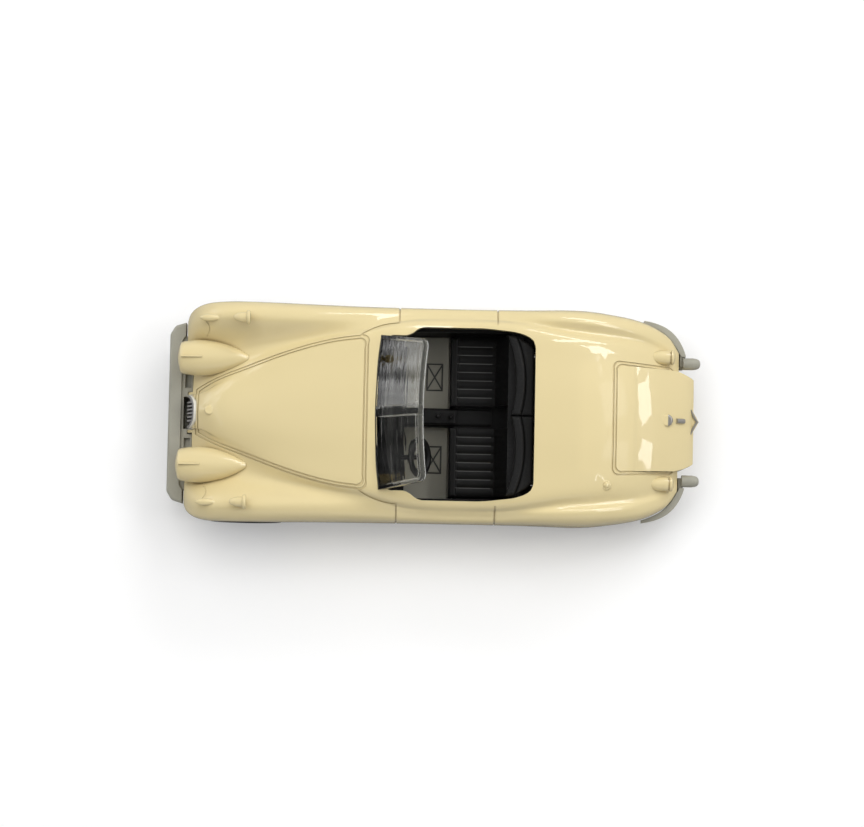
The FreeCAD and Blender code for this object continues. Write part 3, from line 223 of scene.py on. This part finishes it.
enamel = {
    "colour": (0.735, 0.615, 0.335),
    "drift": (14, 0.25, 0.93),  # the tone's slow change: cloud width, share and darker tone
    "thin": ((0.80, 0.70, 0.44), 0.6),  # on edges, where the paint draws back
    "grooveShade": ((0.40, 0.30, 0.14), 0.7),  # painted shade: the cast lines darker, its colour and share
    "groove": (0.5, 0.25, 0.75),
    "zinc": (0.50, 0.50, 0.49),  # the swaged rivet heads are bare
    "bareBelow": 3.6,
    "plated": (0.34, 0.325, 0.30),  # handle, and the rear half of the boss, on the boot lid
    "platedMetal": 0.5,
    "handle": ((-36.0, -34.2), 0.42),
    "boss": ((-34.0, -33.15), 0.9),
    "lidAt": (-35.0, 9.66),  # the lid's surface slopes through this (x, z)
    "lidSlope": 0.615,
    "web": (0.005, 0.005, 0.005),  # painted shade: the webs under the cowl are painted near black
    "webs": ((5.8, 7.6), (7.2, 9.6), 14.5),  # by x, distance from the middle and top
    # the deck ahead of the lid, where the gloss fades: x, x, distance from the middle and share
    "dull": ((-28.4, -27.9), (-21.5, -19.5), (7.2, 8.8), 0.85),
    "peelWidth": 1.4,
    "peelDetail": 3.0,
    "peelDepth": 0.004,
    "softEdge": 0.12,
    "roughness": (0.34, 0.08, 0.6),  # least, spread and grain
    "specular": 0.25,
    "coatRoughness": 0.035,
}


def enamelFinish():
    f = Finish("creamEnamel")
    x, y, z = f.axes()
    across = abs(y)
    edge, soft = f.tooth(enamel["softEdge"])
    groove = f.crevice(*enamel["groove"])
    cloud, driftShare, darker = enamel["drift"]
    thin, thinShare = enamel["thin"]
    grooveShade, grooveShadeShare = enamel["grooveShade"]
    colour = f.blend(
        f.noise(cloud) * driftShare, enamel["colour"], shaded(enamel["colour"], darker)
    )
    colour = f.blend(edge * (1 - groove) * thinShare, colour, thin)
    # painted shade: the cast lines are darker where the sky is hidden
    colour = f.blend(groove * grooveShadeShare, colour, grooveShade)
    lidX, lidZ = enamel["lidAt"]
    raised = z > lidZ + (x - lidX) * enamel["lidSlope"]
    plated = 0.0
    for (low, high), reach in (enamel["handle"], enamel["boss"]):
        plated = plated + f.between(x, low, high) * (across < reach) * raised
    bare = z < enamel["bareBelow"]
    colour = f.blend(bare, colour, enamel["zinc"])
    colour = f.blend(plated, colour, enamel["plated"])
    # painted shade on the webs under the cowl
    along, aside, top = enamel["webs"]
    webs = f.between(x, *along) * f.between(across, *aside) * (z < top)
    rear, front, side, dullShare = enamel["dull"]
    dull = f.fade(x, *rear) * (1 - f.fade(x, *front)) * (1 - f.fade(across, *side)) * dullShare
    peel = f.noise(enamel["peelWidth"], enamel["peelDetail"])
    return f.done({
        "Base Color": f.blend(webs, colour, enamel["web"]),
        "Metallic": bare + plated * enamel["platedMetal"],
        "Roughness": f.uneven(*enamel["roughness"]),
        "Specular IOR Level": enamel["specular"],
        "Coat Weight": (1 - bare) * (1 - dull),
        "Coat Roughness": enamel["coatRoughness"],
        "Normal": f.bump(peel, enamel["peelDepth"], soft),
    })


dress("body_shell", enamelFinish())
print("body painted")


# Solids through rings of points

def ringSolid(name, rings, sharpAngle, turned=False, painted=()):
    # turned rings close on themselves, and others get end caps
    bm = bmesh.new()
    rings = [[bm.verts.new(point) for point in ring] for ring in rings]
    pairs = list(zip(rings, rings[1:]))
    if turned:
        pairs.append((rings[-1], rings[0]))
    sides = len(rings[0])
    for ring, after in pairs:
        for side in range(sides):
            beyond = (side + 1) % sides
            face = bm.faces.new((ring[side], ring[beyond], after[beyond], after[side]))
            face.material_index = int(side in painted)
    if not turned:
        bm.faces.new(rings[0])
        bm.faces.new(rings[-1])
    bmesh.ops.recalc_face_normals(bm, faces=bm.faces)
    mesh = bpy.data.meshes.new(name)
    bm.to_mesh(mesh)
    bm.free()
    mesh.shade_smooth()
    mesh.set_sharp_from_angle(angle=math.radians(sharpAngle))
    piece = bpy.data.objects.new(name, mesh)
    bpy.context.scene.collection.objects.link(piece)
    return piece


# Plated bar on the boot lid's foot

bootBar = {
    "tip": -37.72,
    "reach": 1.78,
    "sweep": 1.02,
    "sweepPower": 0.85,
    "width": 0.34,
    "taper": 0.55,  # the share of its width that each end loses
    "taperPower": 3,
    "low": 7.95,
    "high": 8.4,
    "crown": 0.1,
    "lip": (-36.5, 8.06),  # the painted lip it stands on: how far in, and how high
    "lipSides": (4, 5, 6),  # the sides of each ring that belong to it
    "steps": 12,
    "sharpAngle": 30,
    "metal": (0.36, 0.35, 0.33),
    "rubbed": (1.5, 0.6),  # on edges: how much brighter, and by what share
    "metallic": 0.6,
    "roughness": (0.3, 0.15, 0.4),
    "softEdge": 0.04,
}


def platedFinish():
    f = Finish("platedGrey")
    edge, soft = f.tooth(bootBar["softEdge"])
    brighter, share = bootBar["rubbed"]
    return f.done({
        "Base Color": f.blend(edge * share, bootBar["metal"], shaded(bootBar["metal"], brighter)),
        "Metallic": bootBar["metallic"],
        "Roughness": f.uneven(*bootBar["roughness"]),
        "Normal": soft,
    })


def makeBootBar():
    # a ridged V, closed underneath
    low = bootBar["low"]
    ridge = bootBar["high"]
    shoulder = ridge - bootBar["crown"]
    lipX, lipZ = bootBar["lip"]
    steps = bootBar["steps"]
    rings = []
    for i in range(-steps, steps + 1):
        share = abs(i) / steps
        y = bootBar["reach"] * i / steps
        x = bootBar["tip"] + bootBar["sweep"] * share ** bootBar["sweepPower"]
        width = bootBar["width"] * (1 - bootBar["taper"] * share ** bootBar["taperPower"])
        rings.append([Vector(point) * mm for point in (
            (x, y, low), (x, y, shoulder), (x + width / 2, y, ridge), (x + width, y, shoulder),
            (x + width, y, lipZ), (lipX, y, lipZ), (lipX, y, low),
        )])
    piece = ringSolid("bootBar", rings, bootBar["sharpAngle"], painted=bootBar["lipSides"])
    piece.data.materials.append(platedFinish())
    piece.data.materials.append(nodes["body_shell"].data.materials[0])
    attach(piece, "root")


makeBootBar()
print("boot bar made")


# Base plate and bumpers

base = {
    "colour": (0.36, 0.35, 0.29),
    "clouds": (5, 4.0, (0.35, 0.7), 0.86),  # width, detail, from and to, and darker tone
    "worn": ((0.52, 0.50, 0.42), 0.7),
    "crevice": (0.8, 0.3, 0.9),
    "creviceShade": (0.35, 0.6),  # painted shade in the crevices: darker tone, and its share
    "inside": (0.235, 0.225, 0.185),
    "cockpit": ((-9.0, 12.0), 3.9),  # the floor pan, painted darker as shade: by x and above this height
    "matGrooveShade": (0.045, 0.045, 0.04),
    "mats": ((-2.5, 7.5), (4.5, 4.92)),  # the mats' grooves, painted dark as shade: by x and z
    "grain": 0.16,
    "grainDetail": 3.0,
    "grainDepth": 0.006,
    "softEdge": 0.1,
    "roughness": (0.42, 0.15),
}


def baseFinish():
    f = Finish("greyCasting")
    edge, soft = f.tooth(base["softEdge"])
    width, detail, band, darker = base["clouds"]
    cloud = f.noise(width, detail)
    worn, wornShare = base["worn"]
    creviceShade, creviceShadeShare = base["creviceShade"]
    plain = base["colour"]
    colour = f.blend(f.fade(cloud, *band), plain, shaded(plain, darker))
    colour = f.blend(edge * wornShare, colour, worn)
    # painted shade: darker in the crevices
    colour = f.blend(f.crevice(*base["crevice"]) * creviceShadeShare, colour, shaded(plain, creviceShade))
    x, _, z = f.axes()
    cockpit, above = base["cockpit"]
    # painted shade: the cockpit floor is darker than the rest of the plate
    colour = f.blend(f.between(x, *cockpit) * (z > above), colour, base["inside"])
    # painted shade in the mats' grooves
    along, height = base["mats"]
    colour = f.blend(f.between(x, *along) * f.between(z, *height), colour, base["matGrooveShade"])
    least, spread = base["roughness"]
    return f.done({
        "Base Color": colour,
        "Roughness": least + cloud * spread,
        "Normal": f.bump(f.noise(base["grain"], base["grainDetail"]), base["grainDepth"], soft),
    })


dress("base_plate", baseFinish())
print("base plate finished")


# Grille

grille = {
    "slat": (0.34, 0.33, 0.33),
    "surround": (0.72, 0.70, 0.62),
    "ink": (0.010, 0.010, 0.010),
    "inkIn": (0.7, 0.4, 0.6),
    "middle": 7.8,
    "halfWidth": 2.5,
    "halfHeight": 3.05,
    "surroundFrom": 0.975,  # share of the oval's reach
    "metallic": 0.5,
    "roughness": (0.28, 0.12, 0.3),
    "softEdge": 0.05,
}


def grilleFinish():
    f = Finish("grilleSilver")
    deep = f.crevice(*grille["inkIn"])
    _, y, z = f.axes()
    across = y / grille["halfWidth"]
    up = (z - grille["middle"]) / grille["halfHeight"]
    rim = across * across + up * up > grille["surroundFrom"] ** 2
    colour = f.blend(deep, grille["slat"], grille["ink"])
    return f.done({
        "Base Color": f.blend(rim, colour, grille["surround"]),
        "Metallic": (1 - deep) * (1 - rim) * grille["metallic"],
        "Roughness": f.uneven(*grille["roughness"]),
        "Normal": f.rounded(grille["softEdge"]),
    })


dress("grille", grilleFinish())
print("grille finished")


# Seats, tunnel, fascia and folded hood

trim = {
    "black": (0.005, 0.005, 0.005),
    "scuffAndHighlight": ((0.034, 0.034, 0.032), 0.8),  # on edges: lighter, partly scuffing and partly a painted highlight
    "cloth": (0.013, 0.013, 0.013),
    "hoodFront": -10.4,
    "grain": 0.22,
    "grainDepth": 0.010,
    "weave": (1.6, 0.6, 1.0),  # the hood cloth's pitch, distortion and detail
    "pleatHighlight": (0.07, 0.07, 0.068),  # painted highlight along the lines between the pleats
    "pleatHighlightWidth": (0.03, 0.1),
    "cushion": (-8.2, -3.2),
    "firstPleat": 1.6,
    "pitch": 1.21,
    "pleats": 8,
    "pleatEdge": 0.3,
    "roughness": (0.44, 0.14, 0.8),
    "specular": 0.2,
    "softEdge": 0.09,
}


def trimFinish():
    f = Finish("blackMoulding")
    x, y, _ = f.axes()
    edge, soft = f.tooth(trim["softEdge"])
    pitch, distortion, detail = trim["weave"]
    hide = f.add("TexVoronoi", {}, {"Vector": f.place(), "Scale": 1 / (trim["grain"] * mm)})
    weave = f.add("TexWave", {"bands_direction": "Y"}, {
        "Vector": f.place(), "Scale": 1 / (pitch * mm), "Distortion": distortion, "Detail": detail,
    })
    hood = x < trim["hoodFront"]
    height = hide * (1 - hood) + weave * hood
    aside = abs(y) - trim["firstPleat"]
    near = f.add("Math", {"operation": "PINGPONG"}, {0: aside, 1: trim["pitch"] / 2})
    last = trim["pitch"] * (trim["pleats"] - trim["pleatEdge"])
    seat = f.between(x, *trim["cushion"]) * f.between(aside, trim["pleatEdge"], last)
    # painted highlight: the lines between the pleats are lighter
    pleatHighlight = seat * (1 - f.fade(near, *trim["pleatHighlightWidth"]))
    scuffAndHighlight, scuffAndHighlightShare = trim["scuffAndHighlight"]
    colour = f.blend(hood, trim["black"], trim["cloth"])
    # edges lighter: scuffing and a painted highlight
    colour = f.blend(edge * scuffAndHighlightShare, colour, scuffAndHighlight)
    return f.done({
        "Base Color": f.blend(pleatHighlight, colour, trim["pleatHighlight"]),
        "Specular IOR Level": trim["specular"],
        "Roughness": f.uneven(*trim["roughness"]),
        "Normal": f.bump(height, trim["grainDepth"], soft),
    })


dress("interior", trimFinish())


# Steering wheel

steering = {
    "black": (0.003, 0.003, 0.003),
    "worn": (0.006, 0.006, 0.006),
    "cloud": 0.5,
    "roughness": (0.34, 0.1, 0.4),
    "specular": 0.2,
}


def steeringFinish():
    f = Finish("steeringBlack")
    return f.done({
        "Base Color": f.blend(f.noise(steering["cloud"]), steering["black"], steering["worn"]),
        "Specular IOR Level": steering["specular"],
        "Roughness": f.uneven(*steering["roughness"]),
    })


dress("steering_wheel", steeringFinish())
print("interior finished")


# Windscreen

screen = {
    "tint": (0.93, 0.93, 0.88),
    "cloud": (6, 0.96),  # the tint's slow change: width, and darker tone
    "index": 1.57,
    "roughness": (0.02, 0.08),  # the panes', and what the edges add
    "streakWidth": 0.9,
    "streakStretch": (1.0, 0.1, 1.0),
    "streakDetail": 1.0,
    "streakDepth": 0.036,
    "softEdge": 0.2,
    "foot": (0.02, 0.02, 0.02),  # painted shade: near black where it stands on the body
    "footFrom": 0.85,  # share of its normal that is upright
    "footTop": 16.7,
    "frost": ((0.62, 0.62, 0.58), 0.4),  # on the moulding's edges
    "frostRoughness": 0.3,
    "lip": ((0.09, 0.09, 0.075), 0.65),  # painted shade: its top edge is darkened
    "lipFrom": 19.0,
    "lipTurn": 1.0,  # the normal's z less its x
    "lipHighlight": ((0.95, 0.95, 0.93), 0.3),  # painted highlight: a pale line behind that
    "lipHighlightTurn": (0.02, 0.12),
}


def screenFinish():
    f = Finish("clearStyrene")
    edge, soft = f.tooth(screen["softEdge"])
    ahead, _, up = f.parts(f.add("NewGeometry", out="Normal"))
    roundedUp = f.parts(soft)[2]
    _, _, z = f.axes()
    # where the screen is painted near black as shade: its foot
    foot = f.most(abs(up) > screen["footFrom"], z < screen["footTop"])
    lip = (up - ahead > screen["lipTurn"]) * (z > screen["lipFrom"])
    lipHighlight = lip * f.fade(up - roundedUp, *screen["lipHighlightTurn"])
    drawn = f.add("VectorMath", {"operation": "MULTIPLY"}, {
        0: f.place(), 1: screen["streakStretch"],
    })
    streaks = f.add("TexNoise", values={
        "Vector": drawn,
        "Scale": 1 / (screen["streakWidth"] * mm),
        "Detail": screen["streakDetail"],
    })
    cloud, darker = screen["cloud"]
    clear = f.blend(f.noise(cloud), screen["tint"], shaded(screen["tint"], darker))
    pane, added = screen["roughness"]
    frost, frostShare = screen["frost"]
    lipShadeColour, lipShadeShare = screen["lip"]
    lipHighlightColour, lipHighlightShare = screen["lipHighlight"]
    frosted = edge * (1 - lip) * (1 - foot) * frostShare
    # over the clear pane: frost on the edges, painted shade on the top edge and a painted highlight
    # line behind it
    return f.done({
        "Base Color": f.blend(foot, clear, screen["foot"]),
        "Roughness": pane + edge * added,
        "IOR": screen["index"],
        "Transmission Weight": 1.0,
        "Normal": f.bump(streaks, screen["streakDepth"], soft),
    }, {
        "Base Color": f.blend(lipHighlight, f.blend(lip, frost, lipShadeColour), lipHighlightColour),
        "Roughness": screen["frostRoughness"],
    }, f.most(frosted, lip * lipShadeShare + lipHighlight * lipHighlightShare))


dress("windscreen", screenFinish())
print("windscreen finished")


# Wheels

wheel = {
    "rubber": (0.022, 0.022, 0.021),
    "dust": ((0.055, 0.052, 0.048), 0.5),
    "rubberClouds": (1.2, 4.0, (0.45, 0.8)),  # width, detail, and from and to
    "rubberRoughness": (0.62, 0.2),
    "rubberGrain": (0.12, 0.006),  # width and depth
    "rubberEdge": 0.05,
    "alloy": ((0.62, 0.62, 0.61), 0.26, 0.5),  # colour, roughness and pitch of the turning's rings
    "steel": ((0.56, 0.56, 0.55), 0.22, 0.3),
    "rings": (1.5, 2.0, 0.08),  # distortion, detail and what they add to the roughness
    "crevice": (0.6, 0.3, 0.9),
    "creviceShade": (0.3, 0.7, 0.2),  # painted shade in the crevices: darker tone, its share, and what it adds to the roughness
    "metalEdge": 0.06,
    "segments": 96,
    "sharpAngle": 35,
    "bead": 0.03,  # from the hub to the rubber
    # the side wall's outline: how far in from the side, and out from the bore
    "sideWall": ((0.25, 0.0), (0.0, 0.25), (0.0, 0.55), (0.07, 0.62), (0.07, 0.8), (0.0, 0.87)),
    "shoulder": 0.8,
    "shoulderSteps": 6,
    "grooves": 3,
    "grooveWidth": 0.22,
    "grooveFloor": 0.6,  # share of that width
    "grooveDepth": 0.16,
}


def rubberFinish():
    f = Finish("tyreRubber")
    width, detail, band = wheel["rubberClouds"]
    cloud = f.noise(width, detail)
    dust, dustShare = wheel["dust"]
    least, spread = wheel["rubberRoughness"]
    grain, depth = wheel["rubberGrain"]
    return f.done({
        "Base Color": f.blend(f.fade(cloud, *band) * dustShare, wheel["rubber"], dust),
        "Roughness": least + cloud * spread,
        "Normal": f.bump(f.noise(grain), depth, f.rounded(wheel["rubberEdge"])),
    })


def metalFinish(name, colour, roughness, ringPitch):
    # turned metal, with fine rings about the axle
    f = Finish(name)
    crevice = f.crevice(*wheel["crevice"])
    distortion, detail, ringRoughness = wheel["rings"]
    darker, share, grimeRoughness = wheel["creviceShade"]
    rings = f.add("TexWave", {"wave_type": "RINGS", "rings_direction": "Y"}, {
        "Vector": f.place(),
        "Scale": 1 / (ringPitch * mm),
        "Distortion": distortion,
        "Detail": detail,
    })
    # painted shade: darker in the crevices
    return f.done({
        "Base Color": f.blend(crevice * share, colour, shaded(colour, darker)),
        "Metallic": 1.0,
        "Roughness": roughness + rings * ringRoughness + crevice * grimeRoughness,
        "Normal": f.rounded(wheel["metalEdge"]),
    })


def tyreProfile(low, high, radius, bore):
    # (y, radius) points round a tyre's cross-section, with grooves in its tread
    shoulder = wheel["shoulder"] * mm
    steps = wheel["shoulderSteps"]
    side = [(low + inward * mm, bore + outward * mm) for inward, outward in wheel["sideWall"]]
    for step in range(steps + 1):
        turn = math.radians(90 * step / steps)
        side.append((
            low + shoulder - shoulder * math.cos(turn),
            radius - shoulder + shoulder * math.sin(turn),
        ))
    tread = []
    span = high - low - 2 * shoulder
    cut = wheel["grooveWidth"] * mm
    floor = cut * wheel["grooveFloor"]
    deep = wheel["grooveDepth"] * mm
    for i in range(wheel["grooves"]):
        middle = low + shoulder + span * (i + 0.5) / wheel["grooves"]
        tread += [
            (middle - cut / 2, radius), (middle - floor / 2, radius - deep),
            (middle + floor / 2, radius - deep), (middle + cut / 2, radius),
        ]
    return side + tread + [(low + high - y, r) for y, r in reversed(side)]


def turnedRings(profile, centre, segments):
    # the profile's (y, radius) points, turned about a line along Y
    rings = []
    for i in range(segments):
        turn = math.tau * i / segments
        rings.append([
            (centre.x + r * math.cos(turn), y, centre.z + r * math.sin(turn)) for y, r in profile
        ])
    return rings


def makeTyres(rubber):
    for body, centre in wheelCentres.items():
        node = body.replace("wheel", "tyre")
        low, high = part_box(node)
        hubLow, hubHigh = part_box(body.replace("wheel", "hub"))
        bore = (hubHigh.z - hubLow.z) / 2 + wheel["bead"] * mm
        profile = tyreProfile(low.y, high.y, (high.z - low.z) / 2, bore)
        rings = turnedRings(profile, centre, wheel["segments"])
        piece = ringSolid("ribbed_" + node, rings, wheel["sharpAngle"], turned=True)
        piece.data.materials.append(rubber)
        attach(piece, body)
        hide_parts(node)


alloy = metalFinish("hubAlloy", *wheel["alloy"])
steel = metalFinish("axleSteel", *wheel["steel"])
for end in ("front", "rear"):
    dress(f"axle_{end}", steel)
    for side in ("left", "right"):
        dress(f"hub_{end}_{side}", alloy)
makeTyres(rubberFinish())
print("wheels made")


# Table, light and camera

studio = {
    "floorSize": 6.0,
    "floorColour": 0.80,
    "floorInGloss": 0.3,  # its colour in reflections
    "floorLift": 0.185,  # a white that only the camera sees
    "floorMirrored": 0.2,  # and the share of it that gloss shows
    "whiteFrom": 0.075,  # past this it turns to nothing but white
    "whiteAt": 0.16,
    "skyDiffuse": 0.48,
    "skyLeft": 0.35,  # the share of that which the left side loses
    "skyLeftBand": (-0.2, 0.7),
    "skySeen": 1.26,  # enough for plain white in the picture
    "skyMirrored": 0.60,  # what gloss shows of the sky near the horizon
    "skyDark": 0.14,  # and overhead
    "skyDarkBand": (0.3, 0.75),
    # boards that only gloss shows: two ends, height and radiance
    "boards": {
        "darkBoard": ((0.15, -0.012), (0.11, 0.13), 0.09, 0.3),
        "paleBoard": ((0.15, -0.012), (0.12, -0.14), 0.09, 3.0),
    },
    "boardClouds": (14, (0.3, 0.7)),  # width in millimetres, and from and to
    "lampDistance": 0.7,
    # degrees from straight up, compass degrees from +X, size along the compass line,
    # size across it, and radiance
    "softboxes": {
        "softKey": (24, 312, 0.45, 0.70, 2.5),
        "wingStrip": (55.5, 245, 0.10, 0.40, 8.0),
        "deckStrip": (40, 232, 0.28, 0.05, 8.0),
        "quarterPane": (43, 214, 0.15, 0.09, 8.0),
        "lidPane": (41, 195, 0.17, 0.15, 6.5),
        "lowPane": (43, 172, 0.18, 0.085, 6.5),
        "leftFill": (60, 100, 0.30, 0.60, 0.4),
        "frontFill": (60, 10, 0.30, 0.40, 0.6),
    },
    "hiddenFromGloss": ("softKey",),
}


def makeSheet(name, corners, material):
    mesh = bpy.data.meshes.new(name)
    mesh.from_pydata(corners, [], [range(len(corners))])
    mesh.materials.append(material)
    sheet = bpy.data.objects.new(name, mesh)
    bpy.context.scene.collection.objects.link(sheet)


def makeBoards():
    width, band = studio["boardClouds"]
    for name, (near, far, high, radiance) in studio["boards"].items():
        f = Finish(name)
        _, mirrored = f.rays()
        clouds = f.blend(f.fade(f.noise(width), *band), (0, 0, 0), (radiance,) * 3)
        glow = f.add("Emission", {}, {"Color": clouds})
        f.add("OutputMaterial", {}, {
            "Surface": f.add("MixShader", {}, {0: mirrored, 1: f.add("BsdfTransparent"), 2: glow}),
        })
        corners = [(*near, 0), (*far, 0), (*far, high), (*near, high)]
        makeSheet(name, corners, f.material)


def makeFloor():
    f = Finish("tableWhite")
    seen, mirrored = f.rays()
    seen = seen + mirrored * studio["floorMirrored"]
    colour = f.blend(mirrored, (studio["floorColour"],) * 3, (studio["floorInGloss"],) * 3)
    matte = f.add("BsdfDiffuse", {}, {"Color": colour})
    glow = f.add("Emission", {}, {"Strength": seen * studio["floorLift"]})
    near = f.add("AddShader", {}, {0: matte, 1: glow})
    reach = f.add("VectorMath", {"operation": "LENGTH"}, {0: f.place()}, out="Value")
    far = f.fade(reach, studio["whiteFrom"], studio["whiteAt"]) * seen
    white = f.add("Emission", {}, {"Strength": 1.0})
    top = f.add("MixShader", {}, {0: far, 1: near, 2: white})
    below = f.add("NewGeometry", out="Backfacing")  # from below the table can be seen through
    f.add("OutputMaterial", {}, {
        "Surface": f.add("MixShader", {}, {0: below, 1: top, 2: f.add("BsdfTransparent")}),
    })
    half = studio["floorSize"] / 2
    corners = [(-half, -half, 0), (half, -half, 0), (half, half, 0), (-half, half, 0)]
    makeSheet("table", corners, f.material)


def makeSky():
    world = bpy.data.worlds.new("studio")
    bpy.context.scene.world = world
    f = Finish("studio", world)
    _, left, up = f.parts(f.add("TexCoord", out="Generated"))
    seen, mirrored = f.rays()
    darkening = studio["skyMirrored"] - studio["skyDark"]
    gloss = studio["skyMirrored"] - f.fade(up, *studio["skyDarkBand"]) * darkening
    shade = f.fade(left, *studio["skyLeftBand"]) * studio["skyLeft"]
    diffuse = studio["skyDiffuse"] * (1 - shade)
    strength = diffuse + mirrored * (gloss - diffuse)
    strength = strength + seen * (studio["skySeen"] - strength)
    f.add("OutputWorld", {}, {"Surface": f.add("Background", {}, {"Strength": strength})})


def makeSoftboxes():
    for name, (lean, compass, along, across, radiance) in studio["softboxes"].items():
        lean = math.radians(lean)
        compass = math.radians(compass)
        ahead = Vector((math.cos(compass), math.sin(compass), 0))
        side = Vector((-math.sin(compass), math.cos(compass), 0))
        outward = ahead * math.sin(lean) + Vector((0, 0, math.cos(lean)))
        lamp = bpy.data.lights.new(name, "AREA")
        lamp.shape = "RECTANGLE"
        lamp.size = across
        lamp.size_y = along
        lamp.energy = radiance * math.pi * along * across
        holder = bpy.data.objects.new(name, lamp)
        turn = Matrix((side, outward.cross(side), outward)).transposed()
        holder.matrix_world = Matrix.Translation(outward * studio["lampDistance"]) @ turn.to_4x4()
        holder.visible_glossy = name not in studio["hiddenFromGloss"]
        bpy.context.scene.collection.objects.link(holder)


viewer = {
    "tilt": 4.3,  # degrees off the vertical, towards the car's left
    "roll": 1.157,
    "distance": 0.40,
    "nearest": 0.01,
    "aim": Vector((0.28, -0.2, 12.0)) * mm,
    "span": 122.0 * mm,  # what the frame's width covers at the aim
}


def makeCamera():
    tilt = math.radians(viewer["tilt"])
    back = Vector((0, math.sin(tilt), math.cos(tilt)))
    right = Vector((-1, 0, 0))
    roll = Matrix.Rotation(math.radians(viewer["roll"]), 3, back)
    turn = roll @ Matrix((right, back.cross(right), back)).transposed()
    lens = bpy.data.cameras.new("camera")
    lens.lens = lens.sensor_width * viewer["distance"] / viewer["span"]
    lens.clip_start = viewer["nearest"]
    camera = bpy.data.objects.new("camera", lens)
    position = viewer["aim"] + back * viewer["distance"]
    camera.matrix_world = Matrix.Translation(position) @ turn.to_4x4()
    bpy.context.scene.collection.objects.link(camera)
    bpy.context.scene.camera = camera


makeFloor()
makeBoards()
makeSky()
makeSoftboxes()
makeCamera()
bpy.context.scene.view_settings.view_transform = "Standard"
print("studio set")
